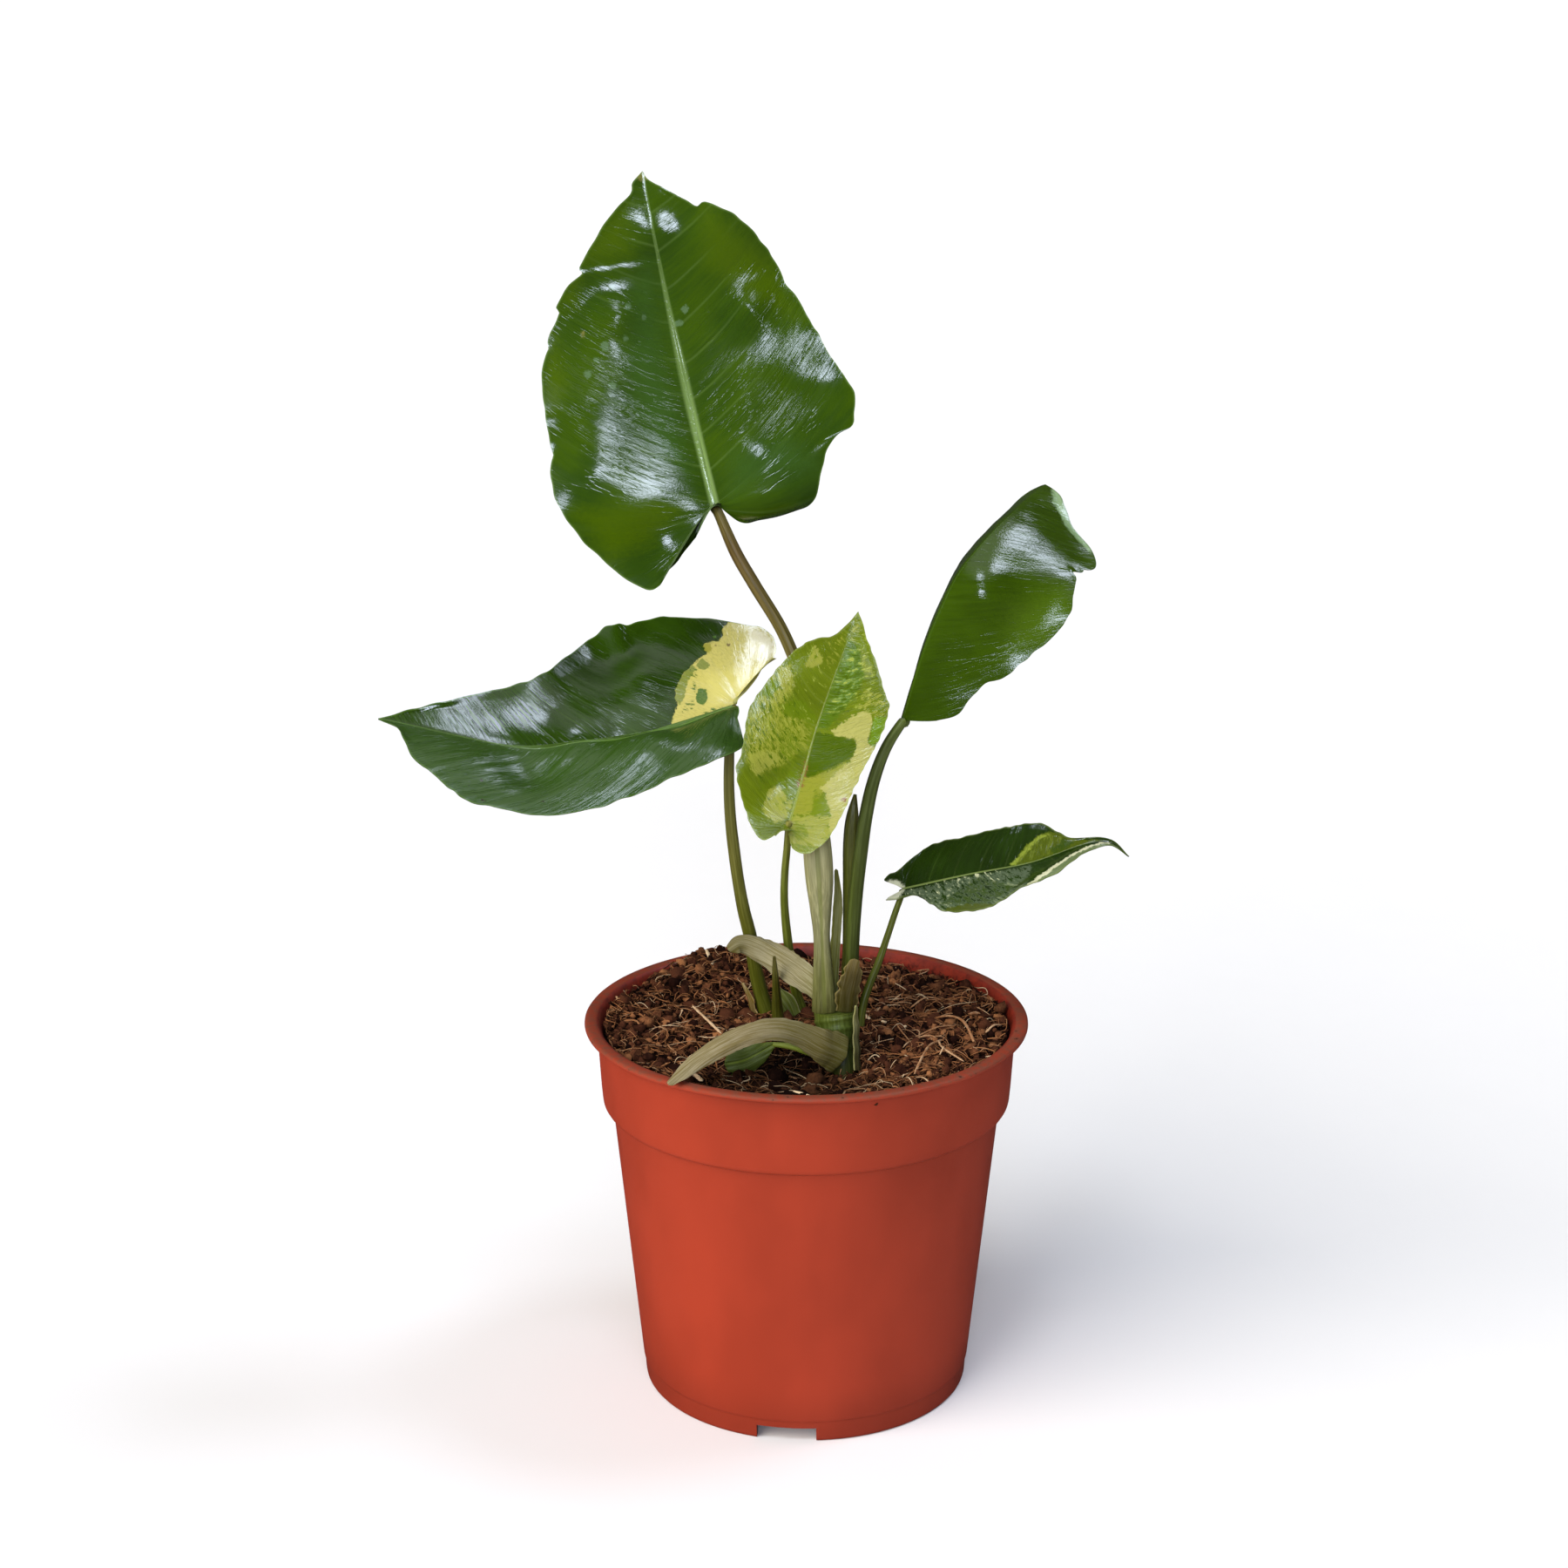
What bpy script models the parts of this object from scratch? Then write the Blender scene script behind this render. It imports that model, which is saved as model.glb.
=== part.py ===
"""Variegated philodendron with five leaves, growing in a 12 cm plastic nursery pot.

Lengths in the lists are millimetres, and MM turns them into Blender's metres.
The origin is the middle of the pot's foot on the ground, +Z is up, and the
plant's best side looks towards -Y.
"""
import math

import bmesh
import bpy
from mathutils import Vector

MM = 0.001
GAP = 0.3            # clearance left between pieces that touch

# Pot, a thin moulded nursery pot with a stepped collar
POT_HEIGHT = 104.3
LIP_RADIUS = 60.0
COLLAR_RADIUS = 56.6
COLLAR_FOOT_RADIUS = 55.4
STEP_HEIGHT = 80.8
STEP_RADIUS = 52.8
BASE_RADIUS = 44.6
WALL = 1.2
FLOOR_HEIGHT = 4.5   # underside of the raised floor
FLOOR = 1.4
FOOT_DISC_RADIUS = 20.0
POT_STEPS = 48
DRAIN_COUNT = 6
DRAIN_RADIUS = 3.5
DRAIN_CIRCLE = 32.0
NOTCH_COUNT = 3
NOTCH_WIDTH = 16.0
NOTCH_HEIGHT = 4.0
NOTCH_ANGLE = -97.0  # degrees from +X, so that one notch shows at the front

# Soil
SOIL_LEVEL = 100.5
SOIL_RINGS = 9
STEM_HOLE_DEPTH = 16.0

# Plant
SHEET = 0.75         # thickness of a leaf's blade
RIB = 1.3            # thickness at the midrib, which stands out below the blade
BRACT = 0.8          # thickness of bracts and sheaths
STEM_TOP = 112.6     # level where the main shoot's leaf stalks part
SHOOT_TOP = 100.3    # the same for the side shoot

# Every leaf: the midrib's course, the way the upper face looks at the base and
# at the tip, the rise of the left and right half from the midrib, the further
# bend of each half out to the margin, how far a lobe behind the stalk bends
# back, and the margin of each half from its lobe to the tip, flat, as (across,
# along). Left and right are as seen on the upper face with the tip up.
LEAVES = {
    "top_leaf": dict(
        midrib=[(-24.1, 6, 243.5), (-30.9, 14, 270.2), (-37.2, 22, 297.4), (-42.7, 27, 326.7)],
        facing=[(0.05, -1, 0.30), (-0.05, -1, 0.15)],
        fold=(14, 14), tip_fold=(16, 16), arch=(-28, -30), reach=40, lobe_bend=(5, 250),
        wave=(0.9, 3.0),
        left=[(-15.5, -17.5), (-20.5, -18), (-28.3, -11.8), (-33.5, -4.5), (-39, 7.5), (-40, 19.5),
              (-38.3, 30), (-37.4, 43), (-33, 52), (-28.8, 59.7), (-21, 67), (-14.2, 74.2),
              (-5.9, 81.7), (0, 88)],
        right=[(11, -9), (18, -9.5), (25, -5.5), (29, 1), (34, 8), (39.5, 11), (42.5, 18),
               (40.7, 27), (37.4, 36), (33.7, 49.6), (29.6, 59.7), (23, 70.5), (15.2, 77.3),
               (5.2, 82.4), (0, 88)],
    ),
    "left_leaf": dict(
        midrib=[(-19.8, 2, 189.9), (-41.2, -8, 185.4), (-69.3, -12, 183.4), (-92, -10, 185.9),
                (-112.2, -4, 188.1)],
        facing=[(0.05, -0.72, 0.80), (-0.1, -0.50, 0.88)],
        fold=(34, 22), tip_fold=(30, 20), arch=(-62, -34), reach=34, lobe_bend=(10, 10),
        wave=(0.7, 2.0),
        left=[(-4, 0.2), (-8.5, 2), (-13.5, 7), (-17.5, 14), (-19, 22), (-22.8, 36), (-25.5, 50),
              (-24.5, 59.3), (-23.5, 67.6), (-18.6, 74.2), (-13.4, 81.6), (-4.4, 89), (0, 96.8)],
        right=[(9.5, -17), (12.5, -20.5), (16.5, -21), (21.4, -16.5), (28, -8), (33.5, 2),
               (35.3, 12.4), (35, 28.5), (28, 42.3), (21, 54), (14.2, 70.5), (7.4, 83), (0, 96.8)],
    ),
    "front_leaf": dict(
        midrib=[(-4.9, -24, 166.0), (-1.1, -22, 179.2), (3.4, -19, 193.4), (12.9, -14, 217.6)],
        facing=[(-0.1, -1, 0.35), (0.05, -1, 0.15)],
        fold=(12, 12), tip_fold=(12, 12), arch=(-20, -25), reach=18, lobe_bend=(5, 5),
        wave=(0.3, 2.0),
        left=[(-5.4, -6.3), (-8.6, -4.9), (-13, 0), (-18.3, 8), (-18.5, 17), (-17.3, 28.3),
              (-14.2, 37.6), (-10.4, 43.7), (-5.4, 49), (0, 55.6)],
        right=[(5.8, -6.9), (9, -6.2), (12.2, -3.4), (13.6, 5), (14.6, 15), (15.9, 26.8),
               (16.1, 37.3), (11.8, 43.4), (6.2, 49.4), (0, 55.6)],
    ),
    "right_leaf": dict(
        midrib=[(24.9, -12, 190.2), (31.1, -12, 212.4), (40.4, -8, 229.8), (51.6, 4, 240.6),
                (63.5, 24, 244.4)],
        facing=[(-0.55, -0.80, 0.20), (-0.35, -0.6, 0.7)],
        fold=(-62, -12), tip_fold=(-30, -12), arch=(-30, -25), reach=28, lobe_bend=(0, 0),
        wave=(0.0, 2.0),
        left=[(-11, 3), (-16, 7), (-21, 15), (-25, 26), (-27, 38), (-27, 50), (-24, 62),
              (-19, 71), (-11, 80), (0, 86.9)],
        right=[(8.5, 2.6), (13.5, 5.8), (16.1, 12), (19, 17), (24, 19.5), (24.7, 26),
               (27.6, 31.3), (29.9, 38.3), (30.2, 49), (25.5, 60.5), (27, 68.5), (22, 75),
               (12.6, 78.8), (6.1, 84), (0, 86.9)],
    ),
    "low_leaf": dict(
        midrib=[(25.7, -6, 142.3), (42.1, -12, 148.1), (57.7, -16, 152.7), (72.3, -16, 157.9),
                (79.2, -15, 158.2), (84.5, -14, 153.7)],
        facing=[(0.0, -0.62, 0.80), (0.1, -0.70, 0.70)],
        fold=(30, 18), tip_fold=(20, 30), arch=(-35, -30), reach=16, lobe_bend=(0, 0),
        wave=(0.3, 2.0),
        left=[(-3.6, -5.2), (-6.9, 1.7), (-10.3, 8.1), (-11, 17.7), (-11.2, 29.2), (-10, 40.5),
              (-4.6, 46.2), (-1.2, 54), (0, 64.9)],
        right=[(2.6, -5), (4.4, 2.6), (9.7, 10.3), (12.8, 15.9), (13.5, 23.5), (11.6, 30.1),
               (8.9, 35.9), (6, 43.5), (2.2, 54), (0, 64.9)],
    ),
}
BLADE_ROWS = 4       # steps from the midrib out to the margin
BLADE_VEINS = 18     # steps along each margin
LOBE_SHARE = 0.18    # share of a margin whose veins all start at the stalk
LOBE_LENGTH = 20.0   # length over which a lobe behind the stalk bends back
VEIN_SPREAD = 1.15   # how much closer the veins start near the stalk
ROW_SPREAD = 1.25    # how much closer the rows lie near the midrib
WAVE_PHASE = 1.3     # shift of the left margin's waves against the right's, radians
SHARP_ANGLE = 40.0   # degrees from which an edge is shaded sharp


def clear_scene():
    """Remove whatever the file holds, so that the part stands alone."""
    for old in list(bpy.data.objects):
        bpy.data.objects.remove(old, do_unlink=True)


def new_collection(name):
    """A collection under the scene's own."""
    made = bpy.data.collections.new(name)
    bpy.context.scene.collection.children.link(made)
    return made


def linear(channel):
    """One sRGB channel from 0 to 255 as a linear value."""
    value = channel / 255
    if value <= 0.04045:
        return value / 12.92
    return ((value + 0.055) / 1.055) ** 2.4


def material(name, rgb, roughness):
    """A Principled material of one colour."""
    made = bpy.data.materials.new(name)
    made.use_nodes = True
    shader = made.node_tree.nodes["Principled BSDF"]
    shader.inputs["Base Color"].default_value = (*[linear(c) for c in rgb], 1)
    shader.inputs["Roughness"].default_value = roughness
    shader.inputs["Metallic"].default_value = 0
    return made


def add_object(name, data, surface, home):
    """Link an object with one material."""
    made = bpy.data.objects.new(name, data)
    data.materials.append(surface)
    home.objects.link(made)
    return made


def from_bmesh(name, bm, surface, home):
    """Turn a bmesh in millimetres into an object in metres, shaded smooth."""
    bmesh.ops.scale(bm, vec=(MM, MM, MM), verts=bm.verts)
    data = bpy.data.meshes.new(name)
    bm.to_mesh(data)
    bm.free()
    data.shade_smooth()
    data.set_sharp_from_angle(angle=math.radians(SHARP_ANGLE))
    return add_object(name, data, surface, home)


def smooth_path(points, steps):
    """Points at even steps along a smooth curve through the given ones."""
    rows = [Vector(p) for p in points]
    rows = [2 * rows[0] - rows[1]] + rows + [2 * rows[-1] - rows[-2]]
    spans = len(rows) - 3
    path = []
    for step in range(steps + 1):
        place = min(step * spans / steps, spans - 1e-6)
        index = int(place)
        t = place - index
        a, b, c, d = rows[index:index + 4]
        path.append((2 * b + (c - a) * t + (2 * a - 5 * b + 4 * c - d) * t ** 2
                     + (3 * b - a - 3 * c + d) * t ** 3) / 2)
    return path


def with_ends(path, foot, head=None):
    """The path with an upright end at the levels given, so that it is cut off level."""
    path = list(path)
    if foot is not None:
        path.insert(0, path[0].copy())
        path[0][2] = foot
    if head is not None:
        path.append(path[-1].copy())
        path[-1][2] = head
    return path


def turned(name, profile, steps, surface, home):
    """A profile of (radius, height) points turned about Z with a Screw modifier."""
    bm = bmesh.new()
    verts = [bm.verts.new((radius, 0, height)) for radius, height in profile]
    for start, end in zip(verts, verts[1:]):
        bm.edges.new((start, end))
    made = from_bmesh(name, bm, surface, home)
    screw = made.modifiers.new("turn", "SCREW")
    screw.steps = steps
    screw.render_steps = steps
    screw.use_merge_vertices = True
    screw.merge_threshold = 0.00005
    screw.use_smooth_shade = True
    return made


def applied(source):
    """The object's evaluated mesh, as a new plain object in its place."""
    graph = bpy.context.evaluated_depsgraph_get()
    data = bpy.data.meshes.new_from_object(source.evaluated_get(graph))
    made = bpy.data.objects.new(source.name + "_solid", data)
    for home in source.users_collection:
        home.objects.link(made)
    name = source.name
    bpy.data.objects.remove(source, do_unlink=True)
    made.name = name
    return made


def cut(target, cutter):
    """Cut one object's volume out of another."""
    cutter.hide_render = True
    cutter.display_type = "WIRE"
    modifier = target.modifiers.new(cutter.name, "BOOLEAN")
    modifier.operation = "DIFFERENCE"
    modifier.object = cutter


def cylinder_cutter(name, centre, radii, bottom, top, home):
    """An upright round or oval cutter."""
    bm = bmesh.new()
    bmesh.ops.create_cone(bm, cap_ends=True, segments=20, radius1=1, radius2=1, depth=1)
    bmesh.ops.scale(bm, vec=(radii[0], radii[1], top - bottom), verts=bm.verts)
    bmesh.ops.translate(bm, vec=(centre[0], centre[1], (top + bottom) / 2), verts=bm.verts)
    return from_bmesh(name, bm, bpy.data.materials["cutter"], home)


def box_cutter(name, centre, size, angle, home):
    """A box cutter turned about Z."""
    bm = bmesh.new()
    bmesh.ops.create_cube(bm, size=1)
    bmesh.ops.scale(bm, vec=size, verts=bm.verts)
    made = from_bmesh(name, bm, bpy.data.materials["cutter"], home)
    made.location = Vector(centre) * MM
    made.rotation_euler = (0, 0, angle)
    return made


def wall_radius(height):
    """The pot's inner radius at a height, below and above the collar's step."""
    if height < STEP_HEIGHT:
        return BASE_RADIUS + (STEP_RADIUS - BASE_RADIUS) * height / STEP_HEIGHT - WALL
    rise = (height - STEP_HEIGHT) / (POT_HEIGHT - STEP_HEIGHT)
    return COLLAR_FOOT_RADIUS + (COLLAR_RADIUS - COLLAR_FOOT_RADIUS) * rise - WALL


def pot(surface, home, cutters):
    """The moulded pot: raised floor, foot disc, tapered wall, collar and flat lip."""
    floor_top = FLOOR_HEIGHT + FLOOR
    profile = [
        (0, FLOOR),
        (FOOT_DISC_RADIUS - 2.4, FLOOR),
        (FOOT_DISC_RADIUS - 1.2, floor_top),
        (wall_radius(floor_top) - 1.5, floor_top),
        (wall_radius(floor_top + 1.5), floor_top + 1.5),
        (wall_radius(STEP_HEIGHT - 1.2), STEP_HEIGHT - 1.2),
        (wall_radius(STEP_HEIGHT + 1.8), STEP_HEIGHT + 1.8),
        (wall_radius(POT_HEIGHT - 1.6), POT_HEIGHT - 1.6),
        (COLLAR_RADIUS - 0.2, POT_HEIGHT - 0.3),
        (COLLAR_RADIUS + 0.9, POT_HEIGHT),
        (LIP_RADIUS - 0.6, POT_HEIGHT),
        (LIP_RADIUS, POT_HEIGHT - 0.5),
        (LIP_RADIUS, POT_HEIGHT - 1.1),
        (LIP_RADIUS - 0.5, POT_HEIGHT - 1.4),
        (COLLAR_RADIUS, POT_HEIGHT - 1.9),
        (COLLAR_FOOT_RADIUS, STEP_HEIGHT + 1.2),
        (COLLAR_FOOT_RADIUS - 1.0, STEP_HEIGHT + 0.2),
        (STEP_RADIUS, STEP_HEIGHT),
        (BASE_RADIUS + 0.6, 6.0),
        (BASE_RADIUS + 0.25, 5.6),
        (BASE_RADIUS, 0.4),
        (BASE_RADIUS - 0.4, 0),
        (BASE_RADIUS - 1.5, 0),
        (BASE_RADIUS - 1.5, FLOOR_HEIGHT),
        (FOOT_DISC_RADIUS, FLOOR_HEIGHT),
        (FOOT_DISC_RADIUS - 0.8, 0),
        (0, 0),
    ]
    made = turned("pot", profile, POT_STEPS, surface, home)
    for index in range(DRAIN_COUNT):
        angle = math.tau * index / DRAIN_COUNT
        centre = (DRAIN_CIRCLE * math.cos(angle), DRAIN_CIRCLE * math.sin(angle))
        hole = cylinder_cutter(f"drain_{index}", centre, (DRAIN_RADIUS, DRAIN_RADIUS),
                               FLOOR_HEIGHT - 1, FLOOR_HEIGHT + FLOOR + 1, cutters)
        cut(made, hole)
    for index in range(NOTCH_COUNT):
        angle = math.radians(NOTCH_ANGLE) + math.tau * index / NOTCH_COUNT
        centre = ((BASE_RADIUS - 1) * math.cos(angle), (BASE_RADIUS - 1) * math.sin(angle), 0)
        notch = box_cutter(f"notch_{index}", centre, (5, NOTCH_WIDTH, 2 * NOTCH_HEIGHT), angle,
                           cutters)
        cut(made, notch)
    return made


def hill(x, y, peak, centre, spread):
    """A smooth rise, or a hollow where the peak is negative."""
    away = (x - centre[0]) ** 2 + (y - centre[1]) ** 2
    return peak * math.exp(-away / (2 * spread ** 2))


def soil_height(x, y):
    """Height of the soil: heaped at the back left, hollow in front of the main stem."""
    height = SOIL_LEVEL
    height += hill(x, y, 5.5, (-24, 42), 13)
    height += hill(x, y, 2.0, (-50, 8), 14)
    height += hill(x, y, 2.0, (50, 6), 14)
    height += hill(x, y, -5.0, (0, -27), 13)
    height += 0.5 * math.sin(0.42 * x + 1.3) * math.cos(0.37 * y)
    height += 0.4 * math.sin(0.23 * x - 0.51 * y)
    return height


def soil(surface, home, cutters):
    """The filling, with plain holes where the two shoots stand."""
    floor = FLOOR_HEIGHT + FLOOR + GAP
    edge = wall_radius(SOIL_LEVEL) - 2 * GAP
    profile = [(edge * ring / SOIL_RINGS, SOIL_LEVEL) for ring in range(SOIL_RINGS + 1)]
    profile += [
        (wall_radius(STEP_HEIGHT + 1.8) - 3 * GAP, STEP_HEIGHT + 3.8),
        (wall_radius(STEP_HEIGHT - 1.2) - 3 * GAP, STEP_HEIGHT - 2.2),
        (wall_radius(floor) - 2.2, floor),
        (0, floor),
    ]
    made = applied(turned("soil", profile, POT_STEPS, surface, home))
    for vertex in made.data.vertices:
        if vertex.co.z > (SOIL_LEVEL - 1) * MM:
            vertex.co.z = soil_height(vertex.co.x / MM, vertex.co.y / MM) * MM
    bottom = SOIL_LEVEL - STEM_HOLE_DEPTH
    cut(made, cylinder_cutter("main_stem_hole", (9.6, -23.6), (4.2, 4.7), bottom, 120, cutters))
    cut(made, cylinder_cutter("side_shoot_hole", (-6.0, 6.9), (9.0, 7.1), bottom, 120, cutters))
    return made


def stalk(name, points, steps, surface, home, foot=None, head=None):
    """A round stalk along a smooth course of (x, y, z, radius) points."""
    data = bpy.data.curves.new(name, "CURVE")
    data.dimensions = "3D"
    data.bevel_depth = MM
    data.bevel_resolution = 2
    data.use_fill_caps = True
    path = with_ends(smooth_path(points, steps), foot, head)
    spline = data.splines.new("POLY")
    spline.points.add(len(path) - 1)
    for point, place in zip(spline.points, path):
        point.co = (place[0] * MM, place[1] * MM, place[2] * MM, 1)
        point.radius = place[3]
    spline.use_smooth = True
    return add_object(name, data, surface, home)


def across_frame(path, index, facing):
    """Direction, sideways and facing vectors at one point of a course."""
    before = path[max(index - 1, 0)]
    after = path[min(index + 1, len(path) - 1)]
    forward = (after - before).normalized()
    out = (facing - facing.dot(forward) * forward).normalized()
    return forward, forward.cross(out), out


def strap(name, stations, facing, cup, steps, surface, home, edge=1.0, foot=None):
    """A flat or oval strip lofted through (x, y, z, width, thickness) stations.

    facing holds the way its front looks at the start and at the end, cup how
    many degrees each edge bends back there, and edge the share of the thickness
    that is left at the strip's edges.
    """
    rows = with_ends(smooth_path(stations, steps), foot)
    centres = [Vector(row[:3]) for row in rows]
    bm = bmesh.new()
    rings = []
    for index, row in enumerate(rows):
        part = index / (len(rows) - 1)
        wanted = Vector(facing[0]).lerp(Vector(facing[1]), part)
        forward, side, out = across_frame(centres, index, wanted)
        bend = math.radians(cup[0] + (cup[1] - cup[0]) * part)
        half = max(row[3], 0.8) / 2
        front = []
        back = []
        for u in (-1, -0.6, 0, 0.6, 1):
            turn = bend * u
            reach = half * u if abs(bend) < 1e-4 else half * math.sin(turn) / bend
            drop = 0 if abs(bend) < 1e-4 else half * (1 - math.cos(turn)) / bend
            middle = centres[index] + side * reach - out * drop
            normal = out * math.cos(turn) + side * math.sin(turn)
            depth = row[4] * (edge + (1 - edge) * math.sqrt(1 - u * u)) / 2
            front.append(bm.verts.new(middle + normal * depth))
            back.append(bm.verts.new(middle - normal * depth))
        rings.append(front + back[::-1])
    for ring, following in zip(rings, rings[1:]):
        for index in range(len(ring)):
            nearby = (index + 1) % len(ring)
            bm.faces.new((ring[index], ring[nearby], following[nearby], following[index]))
    bm.faces.new(rings[0][::-1])
    bm.faces.new(rings[-1])
    bmesh.ops.recalc_face_normals(bm, faces=bm.faces)
    bmesh.ops.triangulate(bm, faces=bm.faces)
    return from_bmesh(name, bm, surface, home)


class Leaf:
    """Places points of a leaf drawn flat onto its folded, arched form in space."""

    def __init__(self, form):
        self.form = form
        self.path = smooth_path(form["midrib"], 60)
        self.along = [0.0]
        for start, end in zip(self.path, self.path[1:]):
            self.along.append(self.along[-1] + (end - start).length)
        self.length = self.along[-1]

    def midrib_point(self, y):
        """The midrib's point at a length from the stalk."""
        y = min(max(y, 0), self.length)
        index = 1
        while index < len(self.along) - 1 and self.along[index] < y:
            index += 1
        span = self.along[index] - self.along[index - 1]
        return self.path[index - 1].lerp(self.path[index], (y - self.along[index - 1]) / span)

    def frame(self, y):
        """Origin, forward, sideways and facing vectors at a length along the midrib."""
        y = min(max(y, 0), self.length)
        forward = (self.midrib_point(y + 0.8) - self.midrib_point(y - 0.8)).normalized()
        first, last = [Vector(v) for v in self.form["facing"]]
        wanted = first.lerp(last, y / self.length)
        out = (wanted - wanted.dot(forward) * forward).normalized()
        return self.midrib_point(y), forward, forward.cross(out), out

    def place(self, x, y):
        """The point in space of a flat point x across and y along the midrib."""
        form = self.form
        half = 0 if x < 0 else 1
        origin, forward, side, out = self.frame(y)
        part = min(max(y, 0), self.length) / self.length
        fold = form["fold"][half] * (1 - part) + form["tip_fold"][half] * part
        fold = math.radians(fold)
        curve = math.radians(form["arch"][half]) / form["reach"]
        if y < 0:
            bend = math.radians(form["lobe_bend"][half] + 0.01) / LOBE_LENGTH
            turn = bend * -y
            origin = origin - forward * math.sin(turn) / bend
            origin = origin - out * (1 - math.cos(turn)) / bend
            out = out * math.cos(turn) - forward * math.sin(turn)
        u = abs(x)
        turned_by = fold + curve * u
        reach = (math.sin(turned_by) - math.sin(fold)) / curve
        rise = (math.cos(fold) - math.cos(turned_by)) / curve
        size, count = form["wave"]
        swing = math.sin(math.tau * count * y / self.length + WAVE_PHASE * (1 - half))
        rise += size * (u / form["reach"]) ** 2 * swing
        return origin + side * (reach if half else -reach) + out * rise


def blade(name, form, surface, home):
    """A leaf's blade: straight veins from the midrib to the margin, thicker at the rib."""
    leaf = Leaf(form)
    bm = bmesh.new()
    layer = bm.verts.layers.deform.verify()
    for half, margin in ((-1, form["left"]), (1, form["right"])):
        stretch = margin[-1][1] / leaf.length
        edge = smooth_path([(x, y / stretch) for x, y in margin], BLADE_VEINS)
        grid = []
        for index, tip in enumerate(edge):
            part = index / BLADE_VEINS
            beyond = max(0.0, (part - LOBE_SHARE) / (1 - LOBE_SHARE))
            root = leaf.length * beyond ** VEIN_SPREAD
            vein = []
            for step in range(BLADE_ROWS + 1):
                out = (step / BLADE_ROWS) ** ROW_SPREAD
                place = leaf.place(tip[0] * out + half * 1e-6, root + (tip[1] - root) * out)
                vertex = bm.verts.new(place)
                vertex[layer][0] = 1.0 if step == 0 else 0.0
                vein.append(vertex)
            grid.append(vein)
        for first, second in zip(grid, grid[1:]):
            for step in range(BLADE_ROWS):
                corners = [first[step], first[step + 1], second[step + 1], second[step]]
                bm.faces.new(corners if half > 0 else corners[::-1])
    bmesh.ops.remove_doubles(bm, verts=bm.verts, dist=0.02)
    bmesh.ops.dissolve_degenerate(bm, edges=bm.edges, dist=0.01)
    bmesh.ops.triangulate(bm, faces=bm.faces)
    made = from_bmesh(name, bm, surface, home)
    made.vertex_groups.new(name="midrib")
    thick = made.modifiers.new("thickness", "SOLIDIFY")
    thick.thickness = RIB * MM
    thick.offset = -1
    thick.vertex_group = "midrib"
    thick.thickness_vertex_group = SHEET / RIB
    return made


def plant_materials():
    """The plant's colours."""
    return {
        "deep_green": material("deep_green_leaf", (44, 84, 22), 0.3),
        "lime": material("marbled_lime_leaf", (140, 165, 60), 0.35),
        "petiole": material("olive_petiole", (104, 118, 46), 0.45),
        "sheath": material("pale_sheath", (160, 160, 112), 0.55),
        "paper": material("dry_sheath", (150, 130, 70), 0.7),
        "stem": material("green_stem", (66, 96, 34), 0.45),
    }


def shoots(paint, home):
    """The two short stems that stand in the soil."""
    bottom = SOIL_LEVEL - STEM_HOLE_DEPTH + GAP
    stalk("main_stem", [(10.0, -24.4, 92.0, 3.0), (9.6, -23.2, 99.0, 3.3), (8.4, -20.6, 105.0, 4.2),
                        (7.4, -18.0, 111.0, 5.6)],
          10, paint["stem"], home, foot=bottom, head=STEM_TOP)
    strap("side_shoot", [(-5.8, 6.7, 88.0, 15.0, 11.0), (-5.8, 6.7, 94.0, 15.2, 11.2),
                         (-5.8, 6.7, SHOOT_TOP, 15.6, 11.6)],
          [(0, -1, 0), (0, -1, 0)], (0, 0), 3, paint["stem"], home, edge=0.3, foot=bottom)


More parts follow.
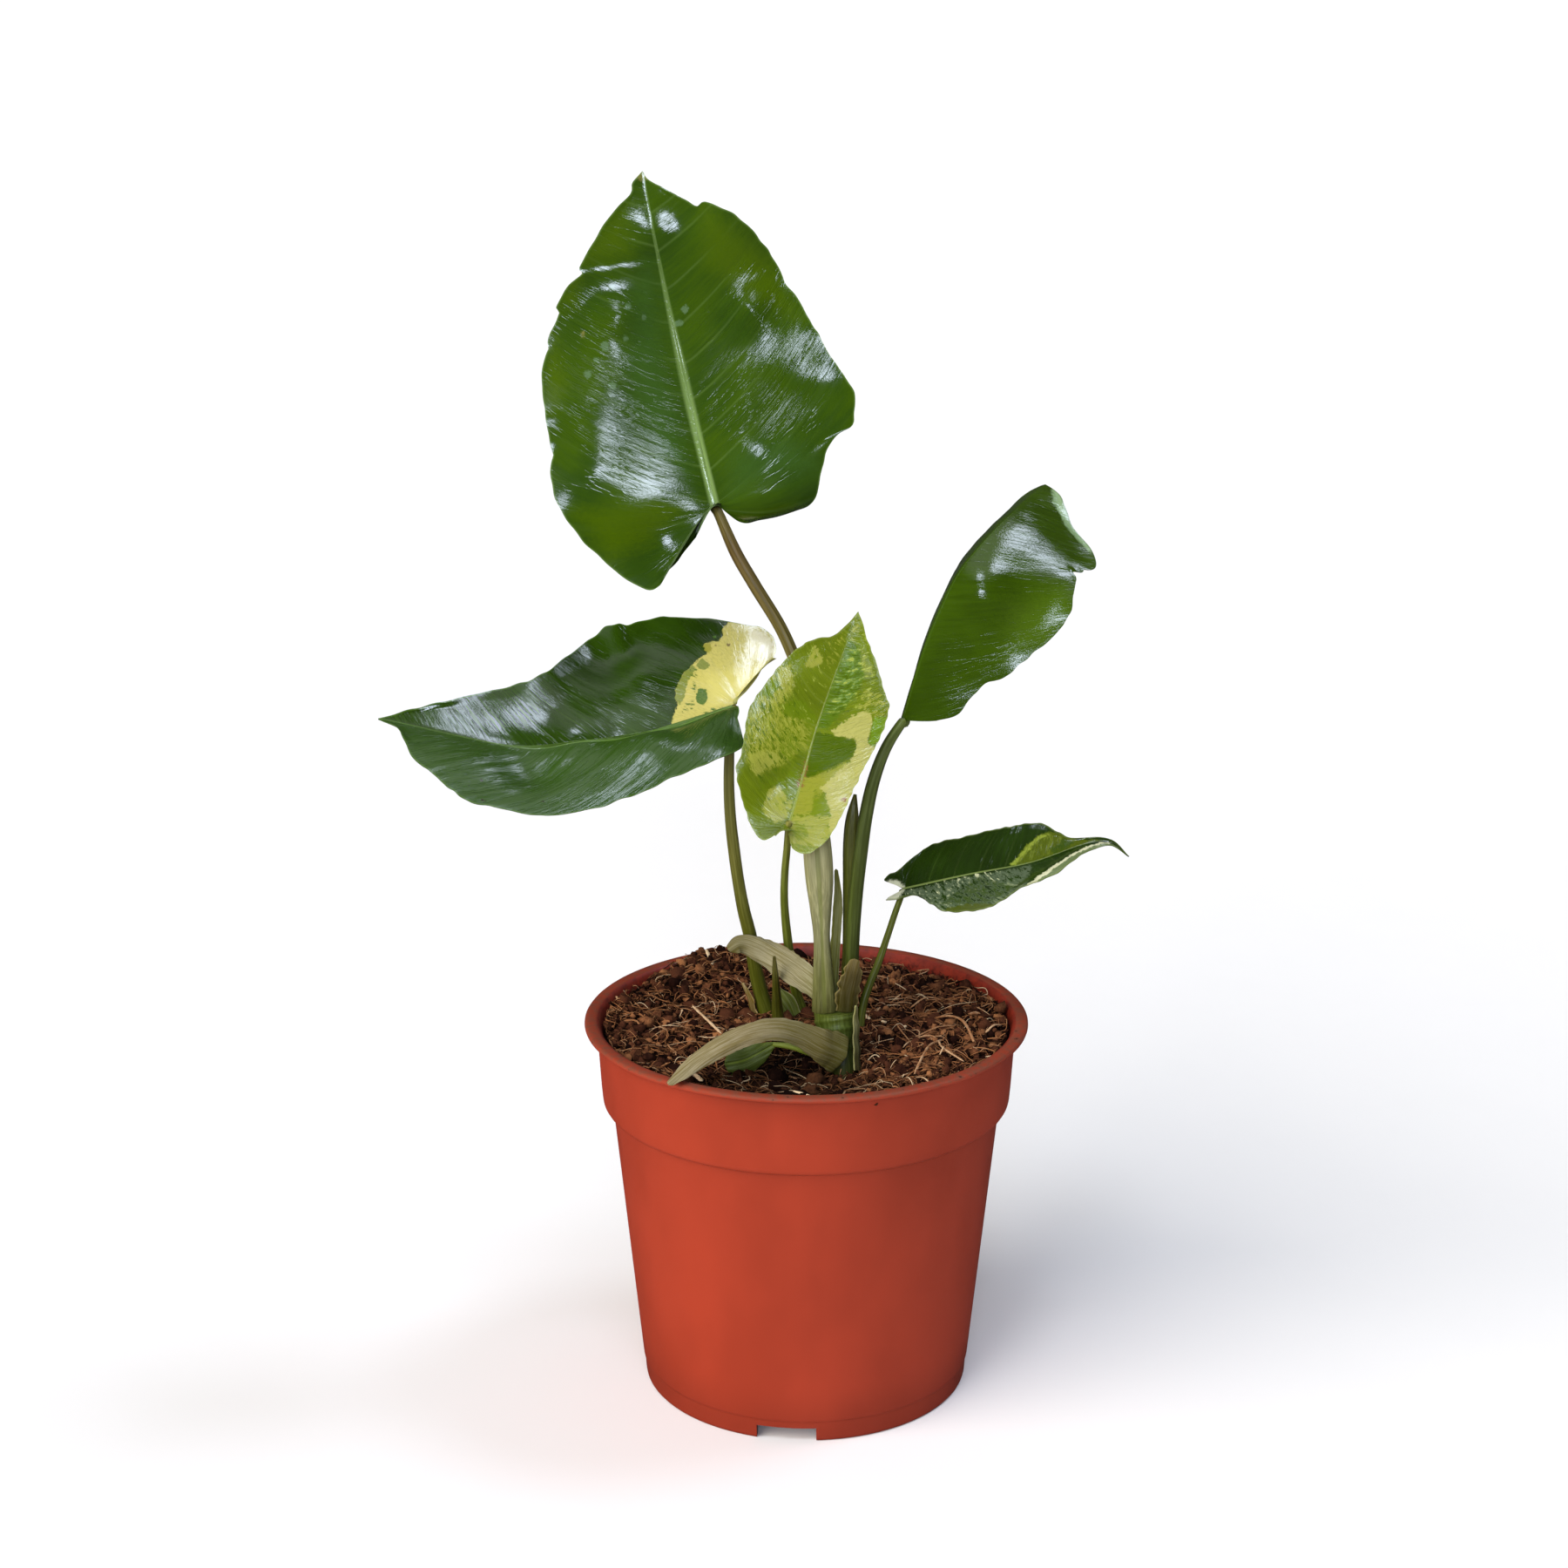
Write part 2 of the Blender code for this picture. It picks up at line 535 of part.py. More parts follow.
def petioles(paint, home):
    """The five leaf stalks, from their shoot up to their blade."""
    start = STEM_TOP + GAP
    side = SHOOT_TOP + GAP
    strap("petiole_top_leaf",
          [(4.7, -20.2, 115.0, 6.6, 3.4), (4.3, -19.4, 124.0, 5.2, 3.2), (3.9, -18.8, 133.0, 4.3, 3.0),
           (3.6, -17.8, 141.3, 5.8, 2.7), (3.2, -16.4, 149.2, 7.4, 2.5),
           (2.4, -14.0, 159.2, 7.2, 2.5), (1.0, -10.8, 172.5, 4.6, 2.9), (0.0, -8.6, 185.0, 3.5, 3.3),
           (-1.6, -6.2, 199.0, 3.4, 3.3), (-6.2, -2.6, 211.0, 3.3, 3.3),
           (-13.6, 0.2, 223.0, 3.3, 3.3), (-18.6, 3.0, 231.2, 3.2, 3.2),
           (-23.4, 5.9, 241.6, 2.2, 2.2)],
          [(0.1, -1, 0.05), (0.1, -1, 0.3)], (0, 0), 28, paint["petiole"], home, edge=0.35,
          foot=start)
    stalk("petiole_left_leaf",
          [(-10.9, 9.2, 101.8, 2.3), (-12.4, 9.0, 107.5, 2.05), (-13.9, 8.2, 115.1, 1.9),
           (-15.2, 7.4, 124.2, 1.8), (-16.9, 6.6, 131.9, 1.7), (-18.2, 6.0, 139.6, 1.6),
           (-19.3, 5.4, 148.1, 1.6), (-20.3, 4.8, 158.0, 1.5), (-20.7, 4.4, 168.0, 1.4),
           (-20.5, 4.0, 178.0, 1.3), (-19.9, 3.7, 188.0, 1.25)], 20, paint["petiole"], home,
          foot=side)
    stalk("petiole_front_leaf",
          [(-1.2, 10.2, 102.0, 1.5), (-2.7, 9.6, 107.5, 1.35), (-3.9, 8.0, 115.1, 1.3),
           (-5.1, 5.6, 124.8, 1.2), (-5.9, 0.8, 136.0, 1.05), (-5.8, -5.0, 146.0, 1.0),
           (-5.2, -12.0, 155.5, 0.95), (-4.7, -22.1, 165.2, 0.85)],
          18, paint["petiole"], home, foot=side)
    stalk("petiole_right_leaf",
          [(11.6, -17.4, 115.0, 1.8), (11.8, -17.1, 125.0, 1.8), (12.2, -16.6, 135.0, 1.8),
           (13.0, -15.9, 145.0, 1.8), (14.1, -15.1, 155.0, 1.8), (15.4, -14.2, 165.0, 1.75),
           (17.4, -13.4, 174.4, 1.6), (20.4, -12.6, 182.6, 1.35), (24.6, -12.0, 189.5, 1.15)],
          18, paint["petiole"], home, foot=start)
    stalk("petiole_low_leaf",
          [(14.3, -18.0, 108.6, 1.0), (14.95, -17.0, 113.6, 1.05), (16.7, -15.4, 118.8, 1.0),
           (19.0, -13.3, 124.0, 0.95), (21.4, -10.6, 130.4, 0.85), (23.6, -8.0, 136.4, 0.8),
           (25.6, -4.8, 140.3, 0.75)], 14, paint["petiole"], home)


def sheaths(paint, home):
    """Bracts, sheaths, new shoots and the small leaf round the two shoots."""
    start = STEM_TOP + GAP
    side = SHOOT_TOP + GAP
    stalk("rolled_new_leaf", [(10.6, -13.6, 115.0, 1.5), (11.2, -12.8, 125.0, 1.65),
                              (11.4, -12.2, 135.0, 1.75), (11.5, -11.4, 146.0, 1.85),
                              (11.6, -10.6, 156.0, 2.0), (11.8, -10.0, 163.0, 1.7),
                              (12.6, -9.4, 169.3, 0.35)],
          16, paint["petiole"], home, foot=start)
    strap("petiole_wing", [(6.9, -15.6, 114.6, 2.4, BRACT), (7.1, -15.3, 122.0, 2.6, BRACT),
                           (7.6, -14.8, 131.0, 2.4, BRACT), (8.2, -14.0, 141.0, 2.2, BRACT),
                           (7.6, -12.8, 149.8, 0.8, BRACT)],
          [(-0.2, -1, 0), (-0.2, -1, 0.1)], (15, 10), 10, paint["stem"], home, foot=start)
    strap("upper_bract", [(3.2, -16.4, 117.8, 6.9, BRACT), (-2.5, -8.0, 119.2, 7.9, BRACT),
                          (-8.5, -0.6, 120.8, 7.9, BRACT), (-13.6, 1.9, 122.8, 6.4, BRACT),
                          (-17.8, 2.2, 124.0, 5.0, BRACT), (-20.7, 1.0, 123.1, 3.0, BRACT)],
          [(-0.5, -1, 0.25), (-0.3, -0.75, 0.65)], (20, 45), 12, paint["sheath"], home)
    strap("lower_bract", [(9.8, -27.2, 103.7, 11.0, BRACT), (7.4, -27.8, 104.6, 11.0, BRACT),
                          (4.0, -29.4, 106.8, 9.0, BRACT), (-1.0, -31.2, 110.3, 6.8, BRACT),
                          (-7.8, -33.8, 113.2, 6.1, BRACT), (-15.0, -36.8, 113.1, 6.1, BRACT),
                          (-21.7, -40.4, 111.4, 6.1, BRACT), (-27.6, -44.4, 109.2, 5.6, BRACT),
                          (-31.9, -48.8, 107.1, 4.0, BRACT), (-35.3, -53.0, 105.6, 1.6, BRACT)],
          [(-0.1, -1, 0.5), (-0.35, -0.7, 0.7)], (15, 35), 20, paint["sheath"], home)
    strap("torn_sheath", [(10.2, -21.2, 114.6, 3.2, BRACT), (10.4, -21.6, 118.5, 4.0, BRACT),
                          (11.1, -21.2, 123.2, 3.8, BRACT), (12.0, -20.6, 127.5, 1.8, BRACT)],
          [(0.1, -1, 0), (0.1, -1, 0.1)], (20, 20), 8, paint["paper"], home, foot=start)
    strap("stem_side_sheath", [(13.5, -25.8, 98.6, 3.0, BRACT), (13.4, -24.2, 104.0, 3.2, BRACT),
                               (13.2, -22.6, 110.0, 3.0, BRACT), (12.8, -23.2, 115.4, 1.0, BRACT)],
          [(0.85, -0.5, 0.3), (0.85, -0.5, 0.1)], (20, 20), 8, paint["sheath"], home)
    stalk("side_shoot_tip", [(-7.7, 3.2, 102.0, 1.5), (-7.9, 1.4, 106.5, 1.35),
                             (-8.1, -2.4, 112.5, 1.0), (-8.4, -6.4, 119.4, 0.7),
                             (-8.6, -8.6, 124.1, 0.35)], 12, paint["stem"], home, foot=side)
    strap("papery_sheath", [(-14.3, 8.3, 102.2, 2.3, BRACT), (-15.7, 7.9, 106.2, 2.6, BRACT),
                            (-17.2, 7.5, 110.6, 1.0, BRACT)],
          [(-0.75, -0.65, 0), (-0.75, -0.65, 0)], (20, 20), 8, paint["paper"], home, foot=side)
    strap("small_green_sheath", [(-3.6, 5.8, 102.2, 4.6, BRACT), (-5.3, 5.6, 106.0, 4.4, BRACT),
                                 (-8.6, 5.2, 110.2, 1.4, BRACT)],
          [(0.1, -1, 0.1), (0.1, -1, 0.2)], (30, 20), 8, paint["stem"], home, foot=side)
    stalk("small_leaf_stalk", [(5.8, -25.0, 100.8, 0.85), (3.0, -26.3, 102.6, 0.85),
                               (-0.3, -27.2, 104.3, 0.85), (-4.2, -28.1, 106.0, 0.8),
                               (-8.0, -28.8, 107.0, 0.65)], 8, paint["lime"], home)
    strap("small_leaf_blade", [(-9.0, -29.0, 106.9, 1.6, BRACT), (-12.4, -29.6, 104.9, 5.4, BRACT),
                               (-15.8, -30.6, 103.4, 8.0, BRACT), (-18.9, -31.6, 102.9, 7.6, BRACT),
                               (-21.0, -32.2, 102.8, 3.6, BRACT)],
          [(-0.1, -1, 0.2), (-0.2, -1, 0.2)], (20, 30), 8, paint["deep_green"], home)


def main():
    """Build the pot, the soil and the plant."""
    clear_scene()
    part = new_collection("potted_variegated_philodendron")
    cutters = new_collection("cutters")
    material("cutter", (128, 128, 128), 0.5)
    pot(material("terracotta_plastic", (192, 74, 46), 0.45), part, cutters)
    soil(material("coir_soil", (58, 38, 28), 0.95), part, cutters)
    paint = plant_materials()
    shoots(paint, part)
    petioles(paint, part)
    sheaths(paint, part)
    for name, form in LEAVES.items():
        surface = paint["lime"] if name == "front_leaf" else paint["deep_green"]
        blade("blade_" + name, form, surface, part)


if __name__ == "__main__":
    main()
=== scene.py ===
"""Variegated philodendron in a plastic nursery pot: fine shapes, living finishes and a small studio.

Laid out as an add-on. Sizes and colours are properties in groups, each group of pieces has an
operator, and the panel in the sidebar lists them. Lengths in the lists are millimetres.
"""
import math
import random
from functools import partial

import bmesh
import bpy
import numpy as np
from bpy.props import FloatProperty, FloatVectorProperty, IntProperty, PointerProperty
from mathutils import Matrix, Vector


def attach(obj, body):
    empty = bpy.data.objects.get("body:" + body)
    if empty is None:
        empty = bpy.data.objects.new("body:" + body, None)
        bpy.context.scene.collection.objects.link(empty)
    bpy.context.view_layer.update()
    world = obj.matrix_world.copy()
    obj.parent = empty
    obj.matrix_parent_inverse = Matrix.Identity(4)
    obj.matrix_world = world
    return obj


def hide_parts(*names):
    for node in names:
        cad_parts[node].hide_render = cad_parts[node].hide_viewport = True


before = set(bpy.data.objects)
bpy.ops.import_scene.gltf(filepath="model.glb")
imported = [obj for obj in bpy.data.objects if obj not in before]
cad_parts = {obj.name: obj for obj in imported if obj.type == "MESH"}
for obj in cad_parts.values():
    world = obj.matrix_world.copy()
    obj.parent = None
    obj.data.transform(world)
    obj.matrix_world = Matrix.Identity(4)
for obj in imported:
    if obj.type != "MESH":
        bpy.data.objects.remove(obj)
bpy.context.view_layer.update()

bl_info = {
    "name": "Potted variegated philodendron",
    "version": (1, 0, 0),
    "blender": (4, 5, 0),
    "location": "View3D > Sidebar > Philodendron",
    "description": "A young variegated philodendron in a plastic nursery pot",
    "category": "Add Mesh",
}

MM = 0.001
ROOT = "root"            # the one body, which every piece rides on

# Every leaf. Its form is as in the solids: the midrib's points, the way it faces at its foot and at
# its tip, how many degrees each half folds up and arches, how far out that arch is measured, how many
# degrees the lobes bend back, a wave along the blade, and the margins as (across, along) points.
# Relief: hills are broad rises and hollows as (across, along, height, radius). Creases are sharp folds
# as (start, end, height, width). Nicks bite into a margin as (half, along, depth, width). Combed lists
# the patches that are finely wrinkled along the veins, bands is the height of broader wrinkles there,
# relief is the strength of the veins and pillows, and pebbled is the share of cells in the bump.
# Lean is the rise of the veins towards the tip. Turning is how far along the midrib its direction
# is averaged.
# Colour: rib and under are the colours of the rib and the underside, and nerve is how clearly the
# side veins show. Mottle is the depth of the mottling and grain its size across and along the veins.
# Torn is how far the borders of the patches wander. Layers are painted over the green one after the
# other: colour, half (-1 left, 1 right, 0 both), how much the layer breaks up into flecks along the
# veins (below 0, flecks in between those), how soft its border is, and its patches, each a spot
# (across, along, radius) or an outline of (across, along) points.
LEAVES = {
    "top_leaf": dict(
        midrib=[(-24.1, 6, 243.5), (-30.9, 14, 270.2), (-37.2, 22, 297.4), (-42.7, 27, 326.7)],
        facing=[(0.05, -1, 0.30), (-0.05, -1, 0.15)],
        fold=(14, 14), tip_fold=(16, 16), arch=(-28, -30), reach=40, lobe_bend=(5, 250),
        wave=(0.9, 3),
        left=[(-4, -2.4), (-6.3, -6.1), (-8.1, -8.5), (-12.5, -12.1), (-16.9, -14.9), (-19.1, -17.4),
              (-22.7, -17.7), (-28.2, -12.7), (-33.8, -4.3), (-37.1, 1.4), (-39.4, 8.5),
              (-40.1, 16.7), (-38.7, 23.7), (-37.8, 37.1), (-37.2, 43.9), (-33.3, 51.2),
              (-29.3, 56.1), (-29.2, 58.7), (-24.8, 63.1), (-20.2, 65.4), (-20.8, 67),
              (-15.9, 72.4), (-10.4, 78.2), (-4.3, 82.8), (-3.1, 85.4), (0, 88)],
        right=[(1.5, -1.6), (6, -6), (11, -9), (18, -9.5), (25, -5.5), (29, 1), (31.4, 5.7),
               (35.3, 9.5), (39.8, 10.9), (41.4, 14.2), (42.5, 20.5), (41.1, 25.1), (39.2, 30.5),
               (37.3, 36.9), (34.7, 47.1), (31.9, 52.8), (30.4, 58.1), (27.6, 64.2), (24.1, 70.1),
               (20.3, 74), (14.7, 77.3), (12.9, 76.5), (10.2, 78.2), (6.6, 81.3), (1.4, 85.3),
               (0, 88)],
        rib="#6c8548", rib_width=2.6, under="#5c7044", nerve=0.05,
        hills=[(16.3, 24.6, 1.06, 4.7), (12.4, 87.4, -3.43, 6.6), (0.8, 72.3, 1.73, 4),
               (-37.9, 23.7, -2.63, 5.2), (-15.6, -7.3, -2.98, 6.6), (21.2, 47.4, 2.39, 4),
               (31, 51.1, -3.60, 13.8), (12.3, 11.8, 2.18, 6.5), (-24.4, 4.9, -3.44, 11.4),
               (-21.6, 52.2, -3.60, 15.6), (-43.7, 5.7, 3.54, 18), (-13.7, 52.5, 2.94, 4.3),
               (7.6, 36, -3.60, 13.4), (4.8, 80.5, 1.52, 5.1), (-21.7, 40.9, 2.29, 8.2),
               (4.9, 76, -1.45, 4), (45.2, 19.7, 1.76, 7), (-32.1, 43.2, -3.21, 14.5),
               (31, 28, -1.23, 7.2)],
        creases=[((-21, 66.2), (0, 64.7), 0.33, 1.5), ((0, 72.5), (12.5, 77), -0.06, 1.4)],
        nicks=[(0, 49, 0.5, 0.8), (0, 57.3, 0.6, 0.7), (0, 22, 0.5, 1)],
        combed=[[(2, 12), (4, 54), (22, 60), (36, 48), (40, 30), (30, 12), (16, 8)],
                [(-30, 14), (-32, 44), (-22, 56), (-3, 56), (-3, 8)]],
        layers=[
            ("#3c5200", 0, 0, 4, [
                [(-5.5, 80), (-7.3, 68), (-20, 68), (-14, 75)], [(-36, 6), (-16, 5), (-7, 1), (-20, -6),
                 (-30, -8)], [(-22, 65), (-28, 60), (-24, 58)], [(-32, 52), (-37, 43), (-36, 33),
                 (-31, 40)], [(14, 76), (30, 58), (34, 42), (22, 50), (12, 62)]]),
            # Blue-green patches: a painted faint sheen beside the midrib and at the base
            ("#304c16", 0, 0, 5, [
                [(-2.5, 64), (-2, 46), (-3, 28), (-5, 10), (-11, 16), (-14, 30), (-13, 44), (-8, 57)],
                [(6, 2), (28, 3), (22, 12), (8, 10)]]),
            ("#4c6440", 0, 0, 0.3, [
                (-10, 54.9, 0.8), (-18.5, 46.3, 1.2), (-18.6, 35.9, 1.1), (-6.5, 51.5, 0.7),
                (-24.5, 40.5, 1.1), (1.2, 48.6, 0.8), (-21.5, 43.5, 0.7), (-12.5, 47, 0.7),
                (-13, 60.5, 0.8), (3.5, 51.5, 1)]),
            ("#6c6a34", 0, 0, 0.6, [(0, 88, 2.4), (-23.5, 50.5, 0.6)])],
    ),
    "left_leaf": dict(
        midrib=[(-19.8, 2, 189.9), (-41.2, -8, 185.4), (-69.3, -12, 183.4), (-92, -10, 185.9),
                (-112.2, -4, 188.1)],
        facing=[(0.05, -0.72, 0.80), (-0.1, -0.50, 0.88)],
        fold=(34, 22), tip_fold=(30, 20), arch=(-62, -34), reach=34, lobe_bend=(10, 10),
        wave=(0.7, 2),
        left=[(-0.8, -1.6), (-3.3, -0.6), (-5.5, 1.2), (-7.3, 2.2), (-9.8, 2.5), (-12.4, 3),
              (-15, 4.8), (-16.7, 7.3), (-17.3, 10.8), (-17.9, 15), (-19, 22), (-22.8, 36),
              (-25.5, 50), (-24.5, 59.3), (-23.5, 67.6), (-18.6, 74.2), (-13.4, 81.6), (-4.4, 89),
              (0, 96.8)],
        right=[(1.1, -0.4), (2.2, -2.2), (2.6, -5), (4.1, -7.9), (6.3, -11.2), (8.2, -13.8),
               (9.9, -16.7), (12.6, -20.4), (16.8, -21.9), (19.6, -21.4), (21.9, -20),
               (23, -17.5), (25.4, -14.2), (28.6, -9), (33.6, 0.5), (35.8, 3.9), (38, 12.4),
               (39.6, 20.5), (40, 28.5), (36.8, 36), (31, 42.3), (25.5, 47.6), (20.6, 54),
               (14.2, 70.5), (7.4, 83), (0, 96.8)],
        rib="#5c7a34", rib_width=1.1, under="#5c7044", nerve=0.03,
        lean=1, bands=0.10, turning=8, combed=[[(-1, -2), (-1, 92), (-30, 92), (-30, -2)]],
        hills=[(33.3, 16.3, -3.30, 7), (1.9, 42.1, 2.36, 5.6), (24.6, 2.8, -2.95, 10.7),
               (-5.9, 25.1, 3.00, 6.1), (24.5, 78.9, 3.40, 16), (-11.5, 0.5, -1.80, 5),
               (29.5, 32, -3.31, 7.4), (-11.6, 2, -1.96, 5), (13.7, 72.8, -2.84, 10.7),
               (-24.4, 49.2, -3.40, 16), (20.5, -21.6, -2.40, 15.5), (20.5, 31.1, -2.58, 13.5),
               (-4.3, 2.9, 1.75, 7.4), (-9.7, 54.2, -3.00, 5)],
        creases=[], nicks=[(0, 69.5, 0.8, 1.2), (0, 62, 0.4, 1.5)],
        layers=[
            ("#2c4710", -1, 0, 1.5, [[(-30, -6), (-30, 96), (0.6, 96), (0.6, -6)]]),
            ("#beb35c", 1, 0, 0.2, [[
                (0, 18), (3.5, 15.9), (5.8, 13.3), (8.2, 12.9), (10.4, 11.5), (12.6, 9.2),
                (14.3, 7.1), (16, 3.6), (16.7, 1.9), (17.6, 0.8), (18.2, -1.6), (19, -2.7),
                (21.3, -2.1), (21.9, -4.1), (21, -6.7), (22.5, -9), (24.5, -9.6), (26, -12),
                (30, -27), (0, -27)]]),
            ("#ccc167", 1, 0, 3, [[(1, 6), (12, 2), (9, -16), (2, -8)]]),
            ("#e0d9b5", 1, 0, 1.2, [[
                (22, -17), (20, -20), (15, -21), (11, -18), (10.2, -14.7), (13, -12), (16.5, -13.5)]]),
            ("#dad3a1", 1, 0.5, 1.5, [[(21, -17), (9, -16), (8, -8), (14, -8)]]),
            ("#737d31", 1, 0, 0.15, [
                [(16, 3.6), (14.2, 3.4), (12.7, 5.3), (11.2, 7.6), (9.1, 9.2), (7, 10.8), (5.7, 13),
                 (7.8, 13.1), (10.4, 11.5), (12.6, 9.2), (14.8, 6.3)],
                [(17.2, 0.3), (15.7, -0.5), (13.8, -0.4), (13.1, 1.6), (14.3, 3), (16, 2.4)]]),
            ("#938e2f", 1, 0, 0.15, [
                [(21.3, -2.1), (21.7, -4.5), (19.4, -4.2), (18.2, -2.6), (19.2, -2.1)]]),
            ("#41621e", 1, 0, 0.15, [
                [(6.6, 7.5), (7.9, 6.1), (8, 5), (7.1, 4), (5.2, 4.6), (3.6, 5.8), (3.2, 7.3),
                 (4, 8.2)], (22.9, -6.6, 0.6)]),
            ("#41621e", 1, 0.5, 0.3, [
                [(16, 4.3), (13.9, 3.4), (11.5, 4.9), (12.7, 5.8)],
                [(11, 5.9), (9.4, 5.9), (7.2, 7.3), (8.6, 8)],
                [(2.6, 14), (5.8, 10.8), (5.8, 8.6), (3.4, 9.7)], [(0.4, 2), (1.6, 4), (0.4, 12)]]),
            ("#6a5a2e", 0, 0, 0.15, [(18.9, -8.8, 0.55), (19.9, -5.4, 0.35)]),
            ("#2a1a12", 0, 0, 0.15, [
                (-16.4, 64.4, 0.4), (-22.7, 63.1, 0.4), (-20.8, 51.3, 0.35), (-19.2, 66.6, 0.25)])],
    ),
    "front_leaf": dict(
        midrib=[(-4.9, -24, 166), (-1.1, -22, 179.2), (3.4, -19, 193.4), (13.4, -13.7, 219)],
        facing=[(-0.1, -1, 0.35), (0.05, -1, 0.15)],
        fold=(12, 12), tip_fold=(12, 12), arch=(-20, -25), reach=18, lobe_bend=(5, 5),
        wave=(0.3, 2),
        left=[(-0.7, -1.8), (-2, -2.9), (-2.5, -4.4), (-4.3, -6.1), (-6, -6.1), (-8.9, -3.9),
              (-10.7, -1.6), (-14.4, 3.9), (-17.2, 9.3), (-17.2, 12.7), (-17.6, 17), (-18.5, 22),
              (-18.6, 24.3), (-17.3, 28.9), (-13.8, 38.4), (-10.9, 43.3), (-7.4, 46.7),
              (-4.2, 48.2), (-2.2, 50.2), (-1.1, 53.2), (-0.4, 56), (0, 57.1)],
        right=[(0.7, -2.3), (1.3, -4.5), (2.9, -6.4), (5.9, -6.8), (8.1, -5.6), (9.9, -3.5),
               (11.7, 0.6), (12.8, 4.9), (13.5, 9.8), (15, 17.1), (16.7, 25.2), (17.1, 31.9),
               (16.1, 37.2), (14.5, 39.5), (11.4, 43.6), (7.9, 47.7), (3.8, 51.6), (2, 54),
               (0.8, 56), (0, 57.1)],
        rib="#838f42", rib_width=0.7, under="#7d8748", nerve=0.05,
        mottle=0.75, grain=(0.91, 1.43), pebbled=0.42, torn=3.6, combed=[(0, 30, 60)],
        hills=[(-23, 43, -2.8, 8), (8, 16, -3.6, 15), (-6, 7, -2.8, 5), (2, 59, -3.6, 16),
               (-12, 30, -3.6, 15), (-10, 57, -3.6, 5)],
        creases=[], nicks=[],
        layers=[
            ("#84892c", -1, 0.46, 0.8, [[
                (-14.4, 37), (-12.2, 38), (-9.9, 36), (-8.3, 33), (-9, 30), (-8.5, 27), (-3.5, 27.4),
                (-1.3, 24.4), (-0.6, 20), (-1.4, 18.8), (-4.1, 14.3), (-7.9, 11.6), (-11.1, 8.8),
                (-13, 9.9), (-15.5, 12), (-17.5, 20), (-18, 23), (-16.6, 30)]]),
            ("#888c34", -1, 0, 0.2, [
                [(-14.3, 35.8), (-12.1, 37.4), (-10, 35.8), (-9.6, 32.3), (-11, 28.6), (-12.5, 26.8),
                 (-13.8, 29), (-13.2, 32.4)],
                [(-15, 13.5), (-12.2, 15.7), (-8, 15.6), (-6.4, 14.1), (-9.1, 11.5), (-11.2, 9.1),
                 (-13.3, 10.1)],
                [(-7, 44.6), (-3.9, 42.7), (-3.6, 40.9), (-5.5, 39.4), (-7.9, 38.8), (-7.5, 42.2)],
                [(-6.4, 7), (-4.5, 7.7), (-2.7, 6.3), (-0.8, 4.6), (-0.8, 1.2), (-1.4, -0.5),
                 (-3.1, -1.3), (-6.2, -0.3), (-7.6, 1.4), (-7.1, 3.7), (-7.3, 5.5)]]),
            ("#596d06", -1, 0, 0.3, [
                [(-10.2, 27.5), (-6.9, 30.2), (-3.4, 30.3), (-0.8, 28), (-0.9, 26), (-5.3, 25.9),
                 (-9.3, 25.8)],
                [(-17, 31), (-14.1, 33.4), (-12.6, 32.6), (-12.6, 30.6), (-13.9, 28.7), (-17, 28)],
                (-5.7, 42.1, 0.5)]),
            ("#596d06", -1, 0.52, 0.3, [[
                (-11, 8.6), (-4, 13.9), (-1, 18), (-0.3, 9), (-0.7, 5), (-3.7, 7.8), (-6.9, 7.5),
                (-9.5, 4.9)], [(-9, 22), (-2, 22), (-1, 16), (-6, 14)]]),
            ("#84892c", -1, 0.56, 0.6, [[(-1, 52), (-4.5, 48), (-3, 38), (-0.5, 44)]]),
            ("#4a630b", 1, 0, 0.5, [[
                (0, 45), (0, 50), (2.5, 48.7), (4.8, 45.3), (6.9, 42.3), (6.8, 38.4), (5.8, 34.6),
                (3.9, 30.1), (1.8, 25.9), (0, 24.9)]]),
            ("#5f7a3c", 1, 0.5, 1.5, [[
                (0.5, 34), (0.5, 48), (2.5, 48), (6, 42), (6, 36), (2, 31)]]),
            ("#7e8226", 1, 0, 0.3, [
                [(0, 12.5), (1.2, 12.4), (5.1, 15.2), (7.9, 17.4), (10.1, 19.7), (11.1, 18.3),
                 (8.7, 14.9), (6.2, 11.6), (5.4, 8.5), (4.3, 5.9), (3.9, 3.1), (0, 1.8)]]),
            ("#9c9a51", 1, 0, 0.25, [[
                (3.2, 25.9), (5.6, 28.7), (7.7, 31.5), (9.8, 33.5), (12.3, 34), (13.6, 31.8),
                (13.9, 28.8), (14.2, 26.4), (15.6, 25.6), (18, 25), (18, 8), (14, 0), (11, 0),
                (9.9, 2.2), (9.8, 4.7), (8.2, 7.1), (6.6, 9.6), (4.8, 10.7), (6.2, 12.9),
                (9.4, 17.4), (10.9, 19.7), (11.5, 21.3), (11.5, 24.4), (10.1, 25.9), (8.9, 25.2),
                (7.2, 25.4), (5.1, 24.6)]]),
            ("#3f5400", 1, 0, 0.2, [
                [(0, 24), (3.3, 25), (5.1, 24.6), (7.2, 25.4), (8.9, 25.2), (10.3, 26), (11.5, 24.4),
                 (11.5, 21.3), (9.6, 19.5), (6.9, 17.1), (3.9, 15.1), (1.2, 12.4), (0, 12)]]),
            ("#638014", 1, 0, 0.2, [
                [(13.5, 33.2), (18, 35), (18, 29), (15.8, 25.7), (14.4, 25.7), (14.1, 28.9)]]),
            ("#878b35", 1, 0, 0.3, [
                [(0, 1.3), (5.2, 3.3), (9.4, 4.6), (10.2, 1.8), (11.3, 0.5), (10.5, -3),
                 (9, -8), (0, -8)]]),
            ("#61710b", 1, 0.42, 0.3, [
                [(3.7, 9.6), (5.4, 8.5), (7.2, 7.4), (9.1, 6.6), (9.4, 4.8), (8, 3.9), (6.4, 4.4),
                 (4.6, 5.7), (3.3, 7.9)],
